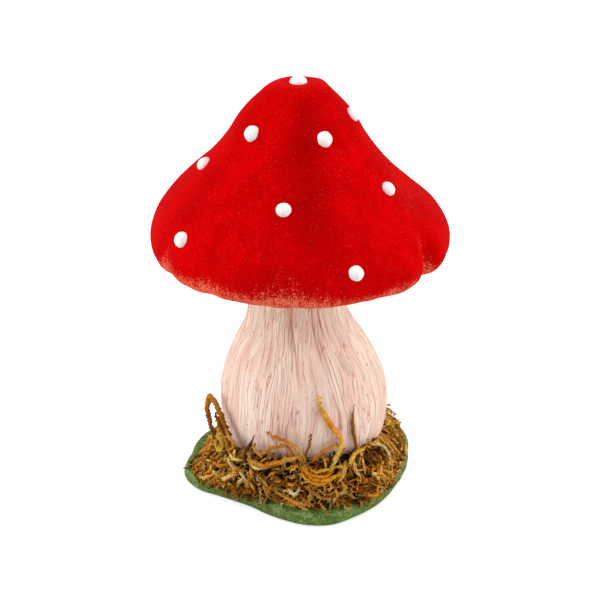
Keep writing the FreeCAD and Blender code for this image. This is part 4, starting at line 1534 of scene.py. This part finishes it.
def walk(draw, count, steps, step_length, sector, top_share, curl, jitter, rooted, free, arch):
    """Paths of strands over the mound, and the painted light of each point for its depth."""
    azimuth = draw.uniform(*sector, count)
    share = draw.uniform(0, top_share, count)
    heading = draw.uniform(0, 2 * np.pi, count)
    turning = draw.normal(0, curl, count)
    root, tip, bow = (draw.uniform(low, high, count) * mm for low, high in (rooted, free, arch))
    paths, lights = [], []
    for step in range(steps):
        t = step / (steps - 1)
        lift = root + (tip - root) * t + bow * np.sin(np.pi * t)
        paths.append(local_points(azimuth, share, lift))
        # Painted shade deep in the moss and painted light high on it
        lights.append(deep_light + (full_light - deep_light) * smooth_step(lift, *shade_lifts))
        heading = heading + turning + draw.normal(0, jitter, count)
        top = eased_round(moss_rise_shares, azimuth)
        azimuth = azimuth + np.degrees(step_length * np.cos(heading) / walk_radius)
        share = share + step_length * np.sin(heading) / (moss_height * top)
        heading = np.where((share < walk_foot) | (share > top_share), -heading, heading)
        share = np.clip(share, walk_foot, top_share + 0.03)
    return np.stack(paths, axis=1), np.stack(lights, axis=1)


# %% Lay the dark core of painted shade
clump_width = 360 / clump_count

# The dark core of a clump, a sheet of painted shade: how far it stays under the moss and off the
# stem, and the degrees that are left free at each end
mat_inset, mat_clearance, mat_gap = 2.0 * mm, 0.4 * mm, 0.5
mat_top_share = 0.88
mat_sections, mat_rows = 34, 22
mat_lump, mat_lump_size = 0.7 * mm, 2.2 * mm


def painted_shade_core(centre, draw):
    """Crumbly core of a clump, dark as painted shade: a section of the mound, swept round the stem
    and shut.
    """
    reach = clump_width / 2 - mat_gap
    azimuth = np.linspace(centre - reach, centre + reach, mat_sections)[:, None]
    share = np.linspace(0, mat_top_share, mat_rows)[None, :]
    outer = local_points(azimuth, share, -mat_inset * (1 - 0.5 * share))
    crumbs = mat_lump * lumps(outer, mat_lump_size, 12)
    outer += crumbs[..., None] * unit(outer * (1, 1, 0))
    z = outer[:, ::-3, 2]
    inner = polar(azimuth, stem_radius(z) + mat_clearance, z)
    section = np.concatenate([outer, inner], axis=1)
    rows, columns = section.shape[:2]
    # Near-black painted shade, a little uneven
    skin = np.array(swatch(30, 13, 3)[:3]) * draw.uniform(0.5, 1.4, (rows * columns, 1))
    return section.reshape(-1, 3), closed_skin_faces(rows, columns), skin


print(f"each mat takes {clump_width - 2 * mat_gap:.0f} degrees")

# %% Hang a fringe over the edge
# Widest hang of a loose strand in mm, how many are tried in a clump, and steps of each
widest_hang = 3.4
fringe_count, fringe_steps = 110, 8


def fringe_paths(sector, draw):
    """Strands at the foot of the moss that run out over the edge of the base and hang down."""
    azimuth = draw.uniform(*sector, fringe_count)
    hang = eased_round(moss_hangs, azimuth)
    kept = draw.uniform(0, widest_hang, fringe_count) < hang
    t = np.linspace(0, 1, fringe_steps)[None, :]
    drop = (hang[kept] * draw.uniform(0.1, 1.0, kept.sum()))[:, None]
    turned = azimuth[kept][:, None] + draw.uniform(-9, 9, (kept.sum(), 1)) * t
    out = np.interp(t, [0, 0.5, 1], [-3.2, 0.2, 0.8]) + draw.uniform(-0.5, 0.6, drop.shape)
    level = np.interp(t, [0, 0.5, 1], [2.0, 1.0, 0.2]) - drop * t ** 2
    paths = polar(turned, base_radius(turned) + out * mm, moss_low + level * mm)
    jitter = np.cumsum(draw.normal(0, 1, paths.shape), axis=1)
    paths += 0.30 * mm * jitter / math.sqrt(fringe_steps)
    return paths, np.broadcast_to(draw.uniform(0.35, 1.0, drop.shape), paths.shape[:2])


print(f"{fringe_count} fringe strands tried in each clump")

# %% Fill a clump
# Habits: how many, steps, step, highest share, curl, jitter, then lift of the root, lift of the
# tip, bow between them and radius, all from least to most in mm, then flatness, leaves per step
habits = [
    (46, 10, 1.10 * mm, 0.97, 0.12, 0.20,
     (-1.6, -0.4), (-0.8, 2.0), (0.3, 1.6), (0.60, 1.00), 0.48, 1.3),
    (200, 7, 0.85 * mm, 0.99, 0.10, 0.26,
     (-2.0, -0.4), (0.2, 2.7), (0.0, 0.5), (0.36, 0.66), 0.60, 1.3),
    (60, 9, 0.66 * mm, 0.95, 0.45, 0.28,
     (-1.0, 0.0), (-0.2, 2.0), (0.0, 1.0), (0.26, 0.42), 0.75, 0),
]

# Degrees by which the loose strands of a clump reach over its neighbours
clump_overlap = 2


def clump_strands(centre, draw):
    """The loose strands of one clump, in three habits."""
    reach = clump_width / 2 + clump_overlap
    sector = (centre - reach, centre + reach)
    parts = []
    for count, steps, step, *way, sizes, flatness, leaves in habits:
        paths, lights = walk(draw, count, steps, step, sector, *way)
        radii = draw.uniform(*sizes, count) * mm
        shades = loose_colours(draw, count) * lights[..., None]
        shades = shades * draw.uniform(0.50, 1.42, (count, 1, 1))
        parts.append(tubes(paths, radii, flatness, shades, draw, frill=0.38))
        if leaves:
            parts.append(leaflets(paths, radii, 0.6 * mm, shades, draw, leaves))
    paths, lights = fringe_paths(sector, draw)
    if len(paths):
        radii = draw.uniform(0.30, 0.60, len(paths)) * mm
        shades = loose_colours(draw, len(paths)) * lights[..., None]
        parts += [tubes(paths, radii, 0.55, shades, draw, frill=0.4),
                  leaflets(paths, radii, 0.5 * mm, shades, draw, 1.8)]
    return parts


def small_strands(centre, draw):
    """The small listed strands that are rooted in one clump."""
    parts = []
    for thickness, tints, places in small_strand_places:
        root_azimuth = places[0][0]
        if abs(turned_from(root_azimuth, centre)) <= clump_width / 2:
            parts += strand_parts(thickness, tints, places, draw)
    return parts


print(f"{sum(habit[0] for habit in habits)} loose strands in each clump")


# %% Make the clumps
def make_clumps():
    total = 0
    for number in range(1, clump_count + 1):
        draw = np.random.default_rng(100 + number)
        centre = clump_width * (number - 1)
        parts = [painted_shade_core(centre, draw)]
        parts += clump_strands(centre, draw)
        parts += small_strands(centre, draw)
        points, faces, skin = joined(parts)
        piece = new_piece(f"dried_moss_{number}", points, faces, moss_material,
                          [f"moss_clump_{number}"], {"tint": skin})
        total += len(piece.data.polygons)
    return total


print(f"{clump_count} clumps, {make_clumps()} faces")


# %% Make the large strands
def make_strands():
    for number, (node, entry) in enumerate(strand_places.items()):
        draw = np.random.default_rng(300 + number)
        points, faces, skin = joined(strand_parts(*entry, draw))
        name = node.replace("moss_", "dried_")
        new_piece(name, points, faces, moss_material, [node], {"tint": skin})


make_strands()
print(f"{len(strand_places)} large strands")

# %% [markdown]
# ## What is inside
#
# Foam, board, dowel and glue are hidden in the finished ornament, but they are part of it, and
# the measured pieces already have the right shape. They keep it and get a real finish: beads in
# the foam, plies and fibres in the board, grain along the dowel.

# %% Finish the inner pieces
# Beads of the foam, in millimetres
bead_size = 2.6


def foam_finish():
    material, graph = new_finish("beaded_foam")
    beads = graph.node("ShaderNodeTexVoronoi", inputs={
        "Vector": graph.place(), "Scale": 1 / bead_size})
    between = graph.step(beads, 0.35, 0.75)
    graph.finish(
        Base_Color=graph.mix(swatch(246, 246, 242), swatch(214, 214, 208), between),
        Roughness=0.8, Specular_IOR_Level=0.2, Normal=graph.relief(1 - beads, 0.5))
    return material


def board_finish():
    material, graph = new_finish("grey_board")
    fibre = graph.cloud(graph.place((1, 1, 5)), 1.4, 4.0, 0.6)
    graph.finish(
        Base_Color=graph.mix(swatch(150, 126, 98), swatch(194, 170, 138), fibre), Roughness=0.9,
        Specular_IOR_Level=0.15, Normal=graph.relief(fibre, 0.2))
    return material


def dowel_finish():
    material, graph = new_finish("birch_dowel")
    grain = graph.cloud(graph.place((1, 1, 0.06)), 0.5, 4.0, 0.6)
    graph.finish(
        Base_Color=graph.mix(swatch(196, 158, 112), swatch(226, 194, 150), grain), Roughness=0.6,
        Specular_IOR_Level=0.3, Normal=graph.relief(grain, 0.1))
    return material


def glue_finish():
    material, graph = new_finish("dry_glue")
    ripple = graph.cloud(graph.place(), 2.2, 2.0)
    graph.finish(
        Base_Color=graph.mix(swatch(226, 218, 192), swatch(238, 232, 214), ripple),
        Roughness=0.25 + 0.2 * ripple, Normal=graph.relief(ripple, 0.15))
    return material


inner_finishes = {
    foam_finish: ["cap_core", "stem_core"],
    board_finish: ["base_board"],
    dowel_finish: ["centre_dowel"],
    glue_finish: ["stem_foot_glue", "stem_top_glue"],
}
for make_finish, names in inner_finishes.items():
    material = make_finish()
    for name in names:
        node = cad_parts[name]
        node.data.materials.clear()
        node.data.materials.append(material)
print("inner pieces finished:", ", ".join(sum(inner_finishes.values(), [])))
